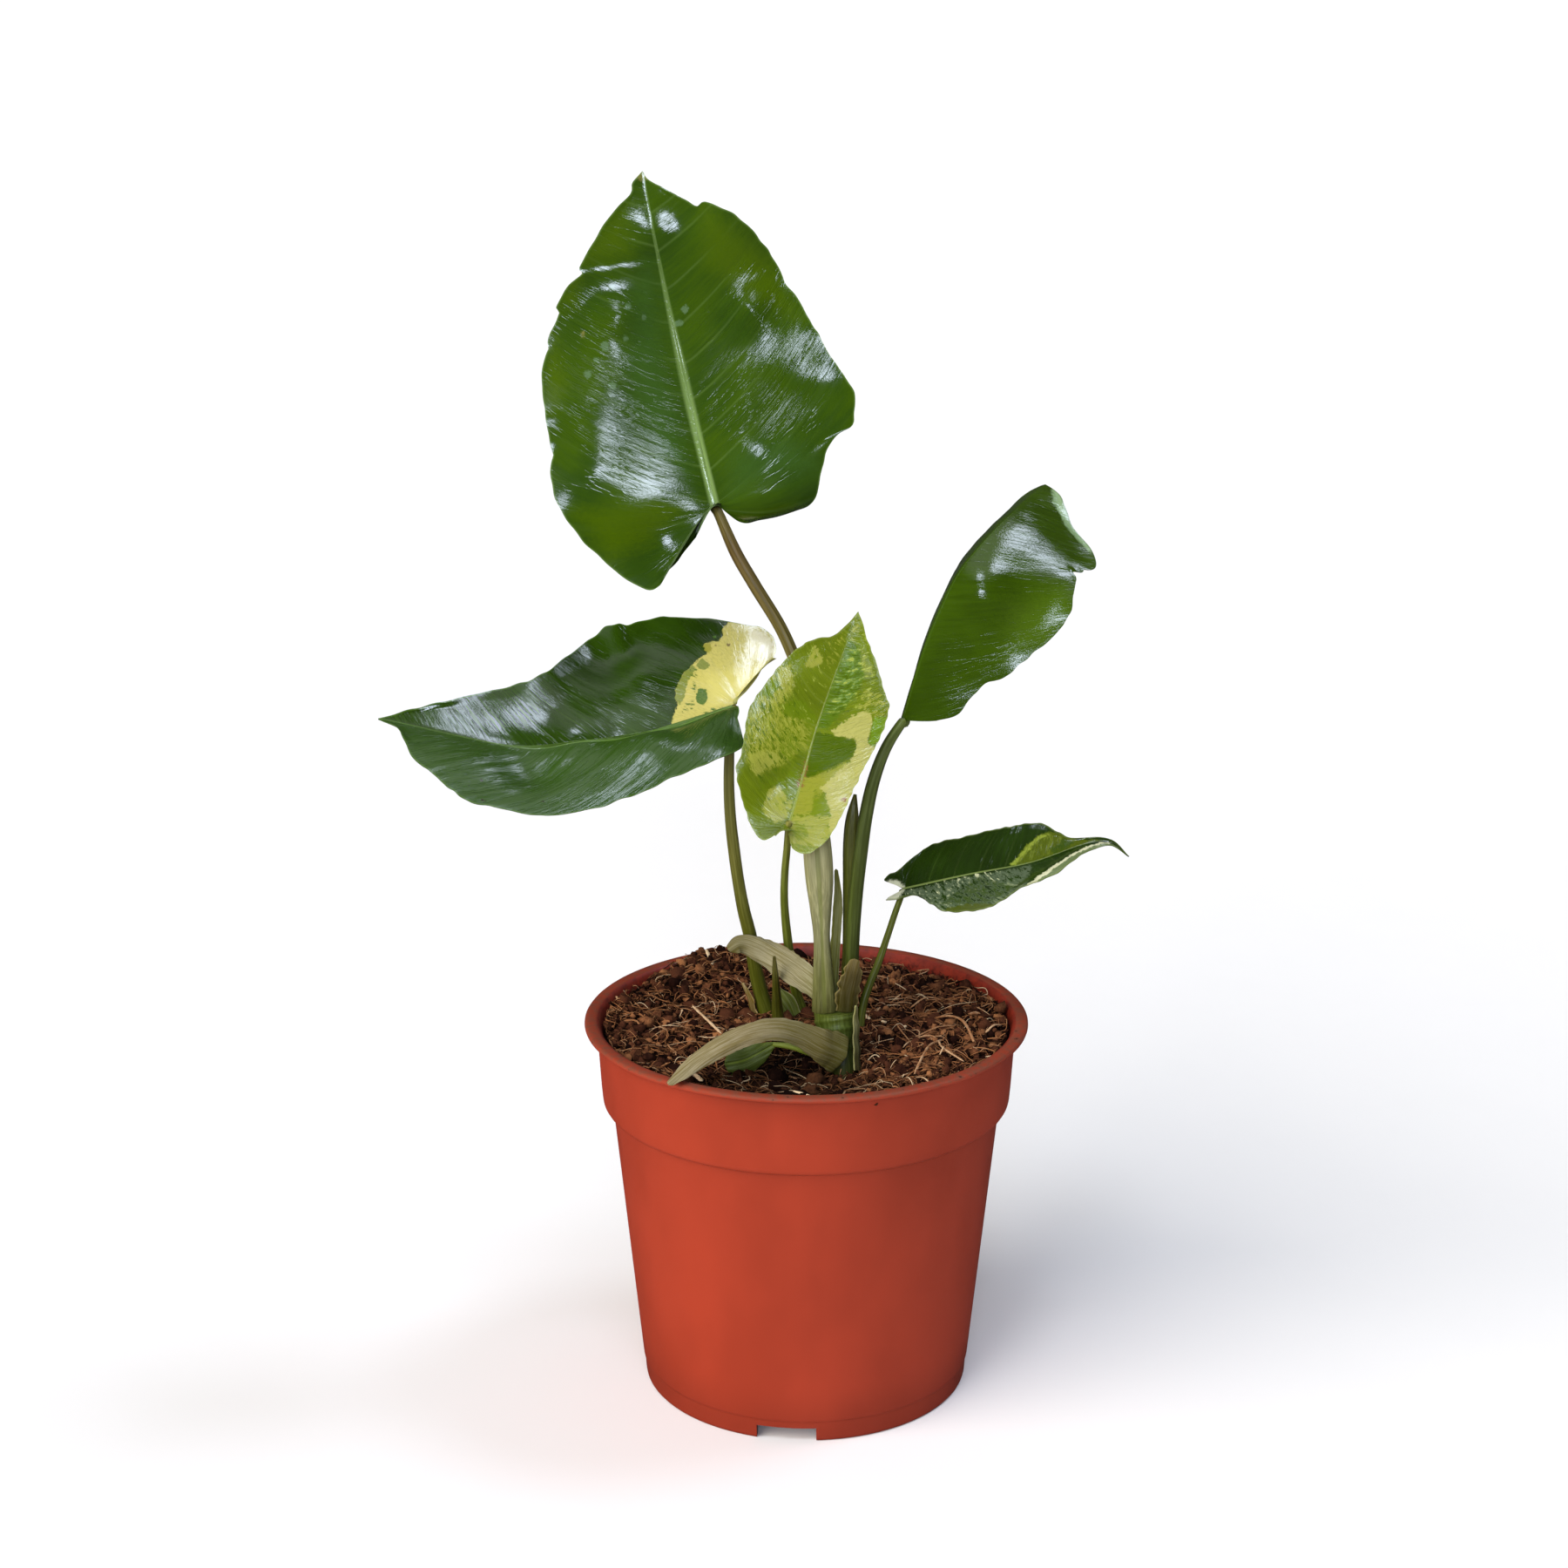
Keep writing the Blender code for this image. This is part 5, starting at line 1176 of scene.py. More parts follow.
def make_chips():
    """The splinters, roots and chips on the soil, as flat rods with broken ends."""
    look = bpy.context.scene.philodendron_soil
    rng = random.Random(31)
    verts, faces, tones = [], [], []
    around, rows = 8, 15
    for points, width, depth, tone in CHIPS.values():
        if len(points) > 2:
            course = smooth(points, np.linspace(0, 1, rows))
        else:
            course = np.linspace(*points, rows)
        forward = unit(np.gradient(course, axis=0))
        side = unit(np.cross(forward, [0, 0, 1]))
        up = np.cross(side, forward)
        angle = np.linspace(0, math.tau, around, endpoint=False)
        swell = np.array([1 + rng.uniform(-0.16, 0.16) for _ in course])
        swell[0] *= 0.6
        swell[-1] *= 0.35
        off = side[:, None, :] * (np.cos(angle) * width / 2)[:, None]
        off = off + up[:, None, :] * (np.sin(angle) * depth / 2)[:, None]
        ring = course[:, None, :] + off * swell[:, None, None]
        start = len(verts)
        verts += ring.reshape(-1, 3).tolist()
        faces += grid_quads(rows, around, wrap=True, start=start)
        faces += [tuple(range(first, first + around)) for first in (start, len(verts) - around)]
        tones += [(tone, 0, 0)] * (around * rows)
    paint = soil_matter("split_wood_and_root", look.middle[:], look.light[:], look.straw[:], 2)
    make_piece("wood_chips", verts, faces, [paint], [], notes={"tone": tones}, sharp=50)


def make_soil():
    """The soil: its heaped body, then crumbs, fibres and chips on top."""
    look = bpy.context.scene.philodendron_soil
    edge = soil_edge()
    around, rings = 300, 72
    angle = np.linspace(0, math.tau, around, endpoint=False)
    radius = np.linspace(0.4, edge, rings)[:, None] + 0 * angle
    x, y = radius * np.cos(angle), radius * np.sin(angle)
    z = soil_height(x, y) - 0.5
    z = z + 0.7 * ripple(x, y, 3.0, 1) + 0.5 * ripple(x, y, 1.3, 2)
    top = np.stack([x, y, z], axis=-1)
    below = []
    for r, level in ((wall_radius(82.6, 1.2) - 0.9, 84.6), (wall_radius(79.6, 1.2) - 0.9, 78.6),
                     (wall_radius(6.2, 1.2) - 2.2, 6.2), (0.4, 6.2)):
        below.append(np.stack([r * np.cos(angle), r * np.sin(angle), level + 0 * angle], axis=-1))
    points = np.concatenate([top, np.array(below)])
    faces = grid_quads(len(points), around, wrap=True)
    faces += [tuple(range(around)), tuple(range((len(points) - 1) * around, len(points) * around))]
    tone = np.full((points.shape[0] * around, 3), 0.12)
    # Painted shade: the soil body, seen between the crumbs, is darkened most of the way to near black
    tone[:, 1] = 0.7
    paint = soil_matter("damp_peat_and_coir", look.dark[:], look.middle[:], look.light[:], 1.429)
    make_piece("soil_body", points.reshape(-1, 3), faces, [paint], ["soil"],
               notes={"tone": tone}, sharp=180)
    size = look.crumb / MM
    make_crumbs("soil_crumbs", look.crumbs, 1, size, 5, 0.5)
    make_crumbs("soil_clods", look.crumbs // 10, 2, size * 1.45, 6, 0.7)
    thick = look.fibre / MM
    make_fibres("coir_fibres", look.fibres, 6.0, thick, 7, (0.0, 0.62), 1.2, 1.2)
    make_fibres("pale_fibres", look.fibres // 14, 6.0, thick * 0.9, 8, (0.6, 1.0), 1.4, 1.8)
    make_chips()


def with_ends(rows, foot=None, head=None):
    """The rows with an upright end at the levels given, so that a piece is cut off level."""
    rows = [np.array(r, float) for r in rows]
    if foot is not None:
        first = rows[0].copy()
        first[2] = foot
        rows.insert(0, first)
    if head is not None:
        last = rows[-1].copy()
        last[2] = head
        rows.append(last)
    return np.array(rows)


def course_frame(course, facing):
    """Sideways and facing vectors along a course whose front turns from one way to another."""
    forward = unit(np.gradient(course, axis=0))
    share = np.linspace(0, 1, len(course))[:, None]
    wanted = np.array(facing[0], float) * (1 - share) + np.array(facing[-1], float) * share
    out = unit(wanted - np.sum(wanted * forward, axis=-1, keepdims=True) * forward)
    return np.cross(forward, out), out


def course_length(course):
    """Millimetres run along a course at each of its points."""
    steps = np.linalg.norm(np.diff(course, axis=0), axis=1)
    return np.concatenate([[0], np.cumsum(steps)])


# Stalks and shoots, as in the solids: points as (x, y, z, radius) or (x, y, z, width, depth), the
# levels at which the foot and the head are cut off, and the way the front looks. Then: colours along
# the stalk, from its foot, as (share, colour); the depth of its ridges; leaf scars as (share, height);
# roll, how far its wrapped edge stands out; seam, the edge of a sheath, as the shares where it starts
# and ends, its place across the front and the width of its stripe; and the leaf that it carries.
STALKS = {
    "main_shoot": dict(
        node="main_stem", slot="stem_green", foot=84.8, head=112.8,
        points=[(10, -24.4, 92, 3), (9.6, -23.2, 99, 3.4), (8.6, -21.2, 103.6, 3.9),
                (7.9, -19.2, 108, 5.2), (7.4, -18, 111.5, 5.5)],
        colours=[(0, "#241f0c"), (0.6, "#2c340c"), (0.8, "#3d4a12"), (1, "#4c5618")],
        ridges=1.2, rings=[(0.62, 0.35), (0.8, 0.4), (0.9, 0.35)]),
    "side_stub": dict(
        node="side_shoot", slot="stem_green", foot=84.8, head=100.3,
        points=[(-5.8, 6.7, 88, 15, 11), (-5.8, 6.7, 94, 15.2, 11.2),
                (-5.8, 6.7, 100.1, 15.6, 11.6)],
        colours=[(0, "#241f0c"), (1, "#3a3a12")], ridges=1.5, rings=[(0.8, 0.4)]),
    "top_stalk": dict(
        node="petiole_top_leaf", slot="petiole_pale", foot=112.9, leaf="top_leaf",
        points=[(4.7, -20.2, 115, 6.6, 3.4), (4.3, -19.4, 124, 5.2, 3.2),
                (3.9, -18.8, 133, 4.3, 3), (3.6, -17.8, 141.3, 5.8, 2.7),
                (3.2, -16.4, 149.2, 7.4, 2.5), (2.4, -14, 159.2, 7.2, 2.5),
                (1, -10.8, 172.5, 4.6, 2.9), (0, -8.6, 185, 3.5, 3.3),
                (-1.6, -6.2, 199, 3.4, 3.3), (-6.2, -2.6, 211, 3.3, 3.3),
                (-13.6, 0.2, 223, 3.3, 3.3), (-18.6, 3, 231.2, 3.2, 3.2),
                (-22.8, 5.6, 240.4, 2.6, 2.6)],
        facing=[(0.1, -1, 0.05), (0.1, -1, 0.3)],
        # The darker stops towards the foot are painted shade
        colours=[(0, "#4a4a20"), (0.06, "#5f5f2e"), (0.14, "#74724a"), (0.30, "#8c885b"),
                 (0.42, "#71713a"), (0.50, "#635c26"), (0.62, "#58501c"), (0.85, "#54431c"),
                 (0.97, "#5a5522")],
        ridges=1.6, seam=(0, 0.42, 0.10, 0.34)),
    "left_stalk": dict(
        node="petiole_left_leaf", slot="petiole_green", foot=100.4, leaf="left_leaf",
        points=[(-10.9, 9.2, 101.8, 2.3), (-12.4, 9, 107.5, 2.05), (-13.9, 8.2, 115.1, 1.9),
                (-15.2, 7.4, 124.2, 1.8), (-16.9, 6.6, 131.9, 1.7), (-18.2, 6, 139.6, 1.6),
                (-19.3, 5.4, 148.1, 1.6), (-20.3, 4.8, 158, 1.5), (-20.7, 4.4, 168, 1.4),
                (-20.5, 4, 178, 1.3), (-20.1, 3.2, 186.6, 1.2)],
        colours=[(0, "#434806"), (0.2, "#52540c"), (0.5, "#6a6722"), (1, "#716b2a")], ridges=1),
    "front_stalk": dict(
        node="petiole_front_leaf", slot="petiole_green", foot=100.4, leaf="front_leaf",
        points=[(-1.2, 10.2, 102, 1.5), (-2.7, 9.6, 107.5, 1.35), (-3.9, 8, 115.1, 1.3),
                (-5.1, 5.6, 124.8, 1.2), (-5.9, 0.8, 136, 1.05), (-5.8, -5, 146, 1),
                (-5.2, -12, 155.5, 0.95), (-4.8, -21.6, 164.6, 0.85)],
        colours=[(0, "#4d540e"), (0.5, "#66701e"), (0.85, "#74752a"), (1, "#7a5e30")], ridges=0.8),
    "right_stalk": dict(
        node="petiole_right_leaf", slot="petiole_green", foot=112.9, leaf="right_leaf",
        points=[(11.6, -17.4, 115, 1.8), (11.8, -17.1, 125, 1.8), (12.2, -16.6, 135, 1.8),
                (13, -15.9, 145, 1.8), (14.1, -15.1, 155, 1.8), (15.4, -14.2, 165, 1.75),
                (17.4, -13.4, 174.4, 1.6), (20.4, -12.6, 182.6, 1.4), (24.4, -12.3, 189.2, 1.2)],
        colours=[(0, "#333a0a"), (0.3, "#3d4710"), (0.8, "#4c5720"), (1, "#57661e")],
        ridges=1.8, facing=[(-0.6, -0.8, 0), (-0.6, -0.8, 0)], seam=(0.05, 0.95, -0.30, 0.16)),
    "low_stalk": dict(
        node="petiole_low_leaf", slot="petiole_green", leaf="low_leaf",
        points=[(14.3, -18, 108, 1), (14.95, -17, 113.6, 1.05), (16.7, -15.4, 118.8, 1),
                (19, -13.3, 124, 0.95), (21.4, -10.6, 130.4, 0.85), (23.6, -8, 136.4, 0.8),
                (25.4, -5.6, 140.6, 0.75)],
        colours=[(0, "#42480a"), (0.5, "#4c520e"), (1, "#5a621c")], ridges=0.8),
    "rolled_leaf": dict(
        node="rolled_new_leaf", slot="petiole_green", foot=112.9, roll=1,
        points=[(10.6, -13.6, 115, 1.5), (11.2, -12.8, 125, 1.65), (11.4, -12.2, 135, 1.75),
                (11.5, -11.4, 146, 1.9), (11.6, -10.6, 156, 2), (11.9, -10, 163, 1.6),
                (12.6, -9.4, 169.3, 0.3)],
        colours=[(0, "#4a4e0c"), (0.6, "#4f540c"), (1, "#5c5a1c")], ridges=1.5),
    "side_tip": dict(
        node="side_shoot_tip", slot="stem_green", foot=100.4,
        points=[(-7.7, 3.2, 102, 1.5), (-7.9, 1.4, 106.5, 1.35), (-8.1, -2.4, 112.5, 1),
                (-8.4, -6.4, 119.4, 0.7), (-8.6, -8.6, 124.1, 0.3)],
        colours=[(0, "#46480e"), (0.6, "#4c4c10"), (1, "#5d5626")], ridges=1.2, roll=0.5),
    "small_stalk": dict(
        node="small_leaf_stalk", slot="petiole_green",
        points=[(6.4, -24.6, 100.3, 0.85), (3, -26.3, 102.6, 0.85), (-0.3, -27.2, 104.3, 0.85),
                (-4.2, -28.1, 106, 0.8), (-9, -28.9, 107, 0.6)],
        colours=[(0, "#6e7a20"), (1, "#84902c")], ridges=0.6),
}

# Bracts and sheaths: points as (x, y, z, width, cup), where cup is how many degrees each edge bends
# back, the way the front looks, and how blunt the start and the end are, in millimetres. Then: torn,
# how ragged the edges are; colours along the strip; how strong its specks are; and its dried edge.
STRAPS = {
    "old_bract_above": dict(
        node="upper_bract", slot="bract_pale", blunt=(0.2, 2.6),
        points=[(4, -17.6, 117.2, 6.6, 30), (-2.5, -8, 119.2, 8, 24),
                (-8.5, -0.6, 120.8, 8, 30), (-13.6, 1.9, 122.8, 6.6, 38),
                (-17.8, 2.2, 124, 5.4, 45), (-21.2, 0.8, 122.8, 4.2, 60)],
        facing=[(-0.5, -1, 0.25), (-0.3, -0.75, 0.65)],
        colours=[(0, "#767342"), (0.3, "#8b835e"), (0.7, "#877e57"), (1, "#72683b")], speck=1),
    "old_bract_below": dict(
        node="lower_bract", slot="bract_pale", blunt=(0.6, 1.2),
        points=[(10.2, -26.9, 102.8, 11.6, 50), (7.4, -27.8, 104.6, 11.2, 38),
                (4, -29.4, 106.8, 9, 30), (-1, -31.2, 110.3, 6.8, 28),
                (-7.8, -33.8, 113.2, 6.2, 26), (-15, -36.8, 113.1, 6.2, 28),
                (-21.7, -40.4, 111.4, 6.2, 32), (-27.6, -44.4, 109.2, 5.6, 36),
                (-31.9, -48.8, 107.1, 4.2, 38), (-35.3, -53, 105.6, 1.8, 30)],
        facing=[(-0.1, -1, 0.5), (-0.35, -0.7, 0.7)],
        colours=[(0, "#545020"), (0.14, "#6c6232"), (0.3, "#70663a"), (0.55, "#80724a"),
                 (1, "#887a50")], speck=0.6),
    "torn_brown_sheath": dict(
        node="torn_sheath", slot="sheath_brown", blunt=(0.1, 0.6), torn=0.16,
        points=[(10.2, -21.2, 113, 4.6, 20), (10.7, -21.6, 118.5, 6.2, 24),
                (11.7, -21.2, 123.2, 5.4, 20), (12.6, -20.6, 127.7, 1.8, 20)],
        facing=[(0.1, -1, 0), (0.1, -1, 0.1)],
        colours=[(0, "#3a360c"), (0.7, "#473c12"), (1, "#655628")], speck=0.4, pale_edge="#75683c"),
    "stem_husk": dict(
        node="stem_side_sheath", slot="bract_pale", blunt=(0.1, 0.3), torn=0.05,
        points=[(13.5, -25.8, 98.4, 3.2, 24), (13.4, -24.2, 104, 3.4, 24),
                (13.2, -22.6, 110, 3.2, 22), (12.9, -23.2, 115.6, 0.8, 20)],
        facing=[(0.85, -0.5, 0.3), (0.85, -0.5, 0.1)],
        colours=[(0, "#3a3416"), (0.4, "#4d4c28"), (1, "#7d7a44")], speck=0.3, pale_edge="#8d8a58"),
    "stalk_wing": dict(
        node="petiole_wing", slot="petiole_green", blunt=(0.1, 0.4),
        points=[(6.9, -15.6, 113.4, 2.6, 15), (7.1, -15.3, 122, 2.8, 15),
                (7.6, -14.8, 131, 2.6, 12), (8.2, -14, 141, 2.4, 10),
                (7.7, -12.8, 149.9, 0.9, 10)],
        facing=[(-0.2, -1, 0), (-0.2, -1, 0.1)],
        colours=[(0, "#5c5e26"), (0.5, "#6a6a2c"), (1, "#74743c")], speck=0.2, pale_edge="#9a986a"),
    "papery_husk": dict(
        node="papery_sheath", slot="sheath_brown", blunt=(0.1, 0.3), torn=0.14,
        points=[(-14.3, 8.3, 101.6, 2.6, 20), (-15.7, 7.9, 106.2, 2.8, 24),
                (-17.2, 7.5, 110.8, 0.9, 20)],
        facing=[(-0.75, -0.65, 0), (-0.75, -0.65, 0)],
        colours=[(0, "#5c4a20"), (0.6, "#76612b"), (1, "#9a8450")], speck=0.4, pale_edge="#a08a58"),
    "green_husk": dict(
        node="small_green_sheath", slot="stem_green", blunt=(0.1, 0.6),
        points=[(-3.4, 5.8, 101.6, 4.8, 30), (-5.3, 5.6, 106, 4.6, 28), (-8.7, 5.2, 110.4, 1.2, 20)],
        facing=[(0.1, -1, 0.1), (0.1, -1, 0.2)],
        colours=[(0, "#5a641c"), (1, "#727a38")], speck=0.2, pale_edge="#a09c6c"),
    "small_leaf": dict(
        node="small_leaf_blade", slot="leaf_low", blunt=(0.4, 1.8), midrib=True,
        points=[(-8.2, -28.9, 107.2, 1, 20), (-12.4, -29.6, 104.9, 5.4, 22),
                (-15.8, -30.6, 103.4, 8.2, 26), (-18.9, -31.6, 102.9, 7.8, 30),
                (-21.4, -32.3, 102.7, 4.4, 30)],
        facing=[(-0.1, -1, 0.2), (-0.2, -1, 0.2)],
        colours=[(0, "#66761a"), (0.25, "#46540e"), (1, "#3a4608")], speck=0),
}


def skin_base(name, form):
    """A new material with the colours given along a stalk or strip, and where on it a point lies."""
    made, add = new_material(name)
    course = add("Attribute course").node.outputs["Vector"]
    parts = add("SeparateXYZ", course).node.outputs
    ramp = add("ValToRGB", parts["Y"])
    stops = ramp.node.color_ramp.elements
    while len(stops) < len(form["colours"]):
        stops.new(0.5)
    for stop, (share, code) in zip(stops, form["colours"]):
        stop.position = share
        stop.color = (*hex_rgb(code), 1)
    run = add("Attribute run").node.outputs["Vector"]
    return made, add, ramp, parts, run


def stalk_skin(name, form):
    """Living leaf stalk, grown: a firm satin skin with fine lengthwise ridges and paler threads."""
    look = bpy.context.scene.philodendron_stalks
    made, add, colour, parts, run = skin_base("living_stalk_" + name, form)
    # Threads 0.5 mm wide and 20 mm long, and dapples 2 mm wide and 8 mm long
    place = add("Mapping", run, (len(name), 0, 0), Scale=(1 / 0.5263, 1 / 20, 1 / 0.5263))
    thread = add("TexNoise", place, Scale=1, Detail=3, Roughness=0.65)
    place = add("Mapping", run, Scale=(1 / 2, 1 / 8.333, 1 / 2))
    dapple = add("TexNoise", place, Scale=1)
    pale = add("HueSaturation", Saturation=0.9, Value=1.45, Color=colour)
    dull = add("HueSaturation", Value=0.72, Color=colour)
    threads = add(MIX, add(RAMP, thread, 0.38, 0.66), dull, pale)
    colour = add(MIX, 0.75, colour, threads)
    colour = add(MIX, add(RAMP, dapple, 0.5, 0.8, 0, 0.35), colour, dull)
    if "seam" in form:
        first, last, place, wide = form["seam"]
        across = add("Math SUBTRACT", parts["X"], place - wide / 2)
        across = add("Math ABSOLUTE", across)
        stripe = add(RAMP, across, wide * 0.55, wide * 0.42)
        begun = add(RAMP, parts["Y"], first - 0.02, first + 0.03)
        left = add(RAMP, parts["Y"], last + 0.04, last - 0.06)
        level = add(TIMES, begun, left)
        share = add(TIMES, stripe, level)
        share = add(TIMES, share, 0.6)
        colour = add(MIX, share, colour, hex_rgb("#5f6426"))
    bump = add("Bump", Strength=1, Distance=0.10 * MM, Height=thread)
    finish_material(add, Base_Color=colour, Roughness=look.gloss, Normal=bump, IOR=1.42)
    return made


def bract_skin(name, form):
    """Withered bract, dried on the plant: a thin pale skin, matt, with close lengthwise nerves and
    fine dark specks. The small green leaf has the same nerves, and a smoother skin."""
    made, add, colour, parts, run = skin_base("withered_bract_" + name, form)
    # Nerves 0.3 mm apart and 14 mm long, stains 2 by 5 mm, and specks drawn 0.3 mm wide so they show
    place = add("Mapping", run, (len(name), 0, 0), Scale=(1 / 0.3125, 1 / 14.29, 1 / 0.3125))
    nerve = add("TexNoise", place, Scale=1, Detail=3, Roughness=0.7)
    place = add("Mapping", run, Scale=(1 / 2.222, 1 / 4.545, 1 / 2.222))
    stain = add("TexNoise", place, Scale=1, Detail=3, Roughness=0.6)
    place = add("Mapping", run, Scale=(1 / 0.2778, 1 / 0.3846, 1 / 0.2778))
    speck = add("TexNoise", place, Scale=1, Roughness=0.6)
    dull = add("HueSaturation", Saturation=1.15, Value=0.62, Color=colour)
    pale = add("HueSaturation", Saturation=0.75, Value=1.3, Color=colour)
    striped = add(MIX, add(RAMP, nerve, 0.36, 0.66), dull, pale)
    colour = add(MIX, 0.8, colour, striped)
    colour = add(MIX, add(RAMP, stain, 0.5, 0.8, 0, 0.45), colour, dull)
    off = add("Math ABSOLUTE", parts["X"])
    if form["speck"]:
        share = add(RAMP, speck, 0.69, 0.74, 0, 0.8 * form["speck"])
        colour = add(MIX, share, colour, hex_rgb("#4a3a20"))
    if "pale_edge" in form:
        border = add(RAMP, off, 0.8, 1)
        colour = add(MIX, border, colour, hex_rgb(form["pale_edge"]))
    if "midrib" in form:
        rib = add(RAMP, off, 0.02, 0.1, 0.6, 0)
        colour = add(MIX, rib, colour, hex_rgb("#6c7c2a"))
    bump = add("Bump", Strength=1, Distance=0.10 * MM, Height=nerve)
    finish_material(add, Base_Color=colour, Roughness=0.45 if "midrib" in form else 0.5, Normal=bump,
                    IOR=1.4, Specular_IOR_Level=0.3)
    return made


def make_stalk(name, form, seed):
    """One stalk: an oval tube with fine ridges, leaf scars and, where it has a leaf, a taper
    that runs on under the blade's midrib."""
    look = bpy.context.scene.philodendron_stalks
    rows = [(*row[:3], 2 * row[3], 2 * row[3]) if len(row) == 4 else row for row in form["points"]]
    rows = with_ends(rows, form.get("foot"), form.get("head"))
    if "leaf" in form:
        shape = LeafForm(LEAVES[form["leaf"]])
        under = np.array([0.0, 3.0, 7.5])
        origin, forward, _, out = shape.frame(under)
        size = rows[-1][3] * np.array([1.0, 0.75, 0.3])
        sunk = size * 0.5 + 0.5 - hill_lift(0 * under, under, shape.form["hills"])
        below = origin - out * sunk[:, None]
        below[0] -= forward[0] * 0.8
        rows = np.vstack([rows, np.column_stack([below, size, size])])
    steps = 26 * len(rows) // 3
    track = smooth(rows, np.linspace(0, 1, steps + 1))
    course = track[:, :3]
    side, out = course_frame(course, form.get("facing", [(0, -1, 0.1), (0, -1, 0.1)]))
    run = course_length(course)
    share = run / run[-1]
    around = STALK_STEPS
    turn = np.linspace(0, math.tau, around, endpoint=False)
    across, front = np.cos(turn)[None], np.sin(turn)[None]
    ridge = look.groove / MM * form["ridges"]
    rng = np.random.default_rng(seed)
    relief = 0.0
    for count in (5, 9, 14):
        relief = relief + ridge / 2 * np.sin(count * turn[None] + rng.uniform(0, 6)
                                             + 0.02 * run[:, None] * rng.normal())
    for place, height in form.get("rings", []):
        relief = relief + height * np.exp(-((share[:, None] - place) / 0.018) ** 2)
    if "roll" in form:
        lap = (turn[None] - 0.9 - 0.012 * run[:, None]) % math.tau
        relief = relief + 0.28 * form["roll"] * (lap / math.tau) * (1 - share[:, None])
    if "seam" in form:
        first, last, place, _ = form["seam"]
        lap = step_up(across, place - 0.06, place + 0.02) * (front > 0)
        level = step_up(share, first, first + 0.03) * step_up(share, last, last - 0.12)
        relief = relief + 0.34 * lap * level[:, None] * step_up(across, 1.0, 0.6)
    width = np.maximum(track[:, 3:4] / 2 + relief, 0.12)
    depth = np.maximum(track[:, 4:5] / 2 + relief, 0.12)
    ring = course[:, None, :] + side[:, None, :] * (width * across)[..., None]
    ring = ring + out[:, None, :] * (depth * front)[..., None]
    faces = grid_quads(len(ring), around, wrap=True)
    faces += [tuple(range(around)), tuple(range((len(ring) - 1) * around, len(ring) * around))]
    note = np.stack([across + 0 * width, share[:, None] + 0 * width, 0 * width], axis=-1)
    girth = track[:, 3:4] / 2
    place = np.stack([girth * across, run[:, None] + 0 * width, girth * front], axis=-1)
    make_piece(name, ring.reshape(-1, 3), faces, [stalk_skin(name, form)],
               [form["node"]], sharp=80,
               notes={"course": note.reshape(-1, 3), "run": place.reshape(-1, 3)})


def make_strap(name, form, seed):
    """One bract or sheath: a thin cupped strip with nerves, ragged edges and a blunt end."""
    look = bpy.context.scene.philodendron_stalks
    rows, columns = STRAP_GRID
    track = smooth(form["points"], np.linspace(0, 1, rows + 1))
    course = track[:, :3]
    side, out = course_frame(course, form["facing"])
    run = course_length(course)
    share = run / run[-1]
    start, end = form["blunt"]
    round_start = np.sqrt(np.clip(1 - np.clip(1 - run / start, 0, 1) ** 2, 0.02, 1))
    round_end = np.sqrt(np.clip(1 - np.clip(1 - (run[-1] - run) / end, 0, 1) ** 2, 0.02, 1))
    torn = form.get("torn", 0.03)
    rag = 1 + torn * np.stack([ripple(run, 0 * run, 1.4, seed), ripple(run, 0 * run, 1.4, seed + 1)], -1)
    u = np.linspace(-1, 1, columns + 1)
    u = np.sign(u) * (1 - (1 - np.abs(u)) ** 1.3)
    half = (track[:, 3] / 2 * round_start * round_end)[:, None]
    reach_scale = np.where(u < 0, rag[:, :1], rag[:, 1:])
    bend = np.radians(track[:, 4:5])
    turn = bend * u
    reach = half * reach_scale * np.sin(turn) / bend
    drop = half * (1 - np.cos(turn)) / bend
    middle = course[:, None, :] + side[:, None, :] * reach[..., None] - out[:, None, :] * drop[..., None]
    normal = out[:, None, :] * np.cos(turn)[..., None] + side[:, None, :] * np.sin(turn)[..., None]
    width_mm = reach + 0 * run[:, None]
    lift = 0.09 * ripple(width_mm, 0.06 * run[:, None] + 0 * width_mm, 0.8, seed + 2)
    lift = lift + 0.16 * ripple(width_mm * 0.4, run[:, None] + 0 * width_mm, 4.0, seed + 3)
    if "midrib" in form:
        lift = lift - 0.25 * np.exp(-(width_mm / 0.5) ** 2)
    thick = look.bract / MM * (0.35 + 0.65 * np.sqrt(np.clip(1 - u ** 2, 0, 1)))[None] + 0 * lift
    top = middle + normal * (lift + thick / 2)[..., None]
    bottom = middle + normal * (lift - thick / 2)[..., None]
    ring = np.concatenate([top, bottom[:, ::-1]], axis=1)
    faces = grid_quads(rows + 1, ring.shape[1], wrap=True)
    count = ring.shape[1]
    for base in (0, rows * count):
        faces += [(base + k, base + k + 1, base + count - 2 - k, base + count - 1 - k)
                  for k in range(columns)]
    note = np.stack([u[None] + 0 * lift, share[:, None] + 0 * lift, 0 * lift], axis=-1)
    place = np.stack([width_mm, run[:, None] + 0 * lift, 0 * lift], axis=-1)
    note = np.concatenate([note, note[:, ::-1]], axis=1)
    place = np.concatenate([place, place[:, ::-1]], axis=1)
    make_piece(name, ring.reshape(-1, 3), faces, [bract_skin(name, form)],
               [form["node"]], notes={"course": note.reshape(-1, 3), "run": place.reshape(-1, 3)})


# The studio, in metres: the floor is flat near the plant and rises far away, so no edge shows
FLOOR_REACH = 12
FLOOR_FLAT = 2
FLOOR_RISE = 0.01

# The camera of the photo
CAMERA_PLACE = (-6, -710, 373)       # mm
CAMERA_PITCH = math.radians(16)      # looking down
CAMERA_LENS = 64                     # mm, on a sensor 36 mm wide

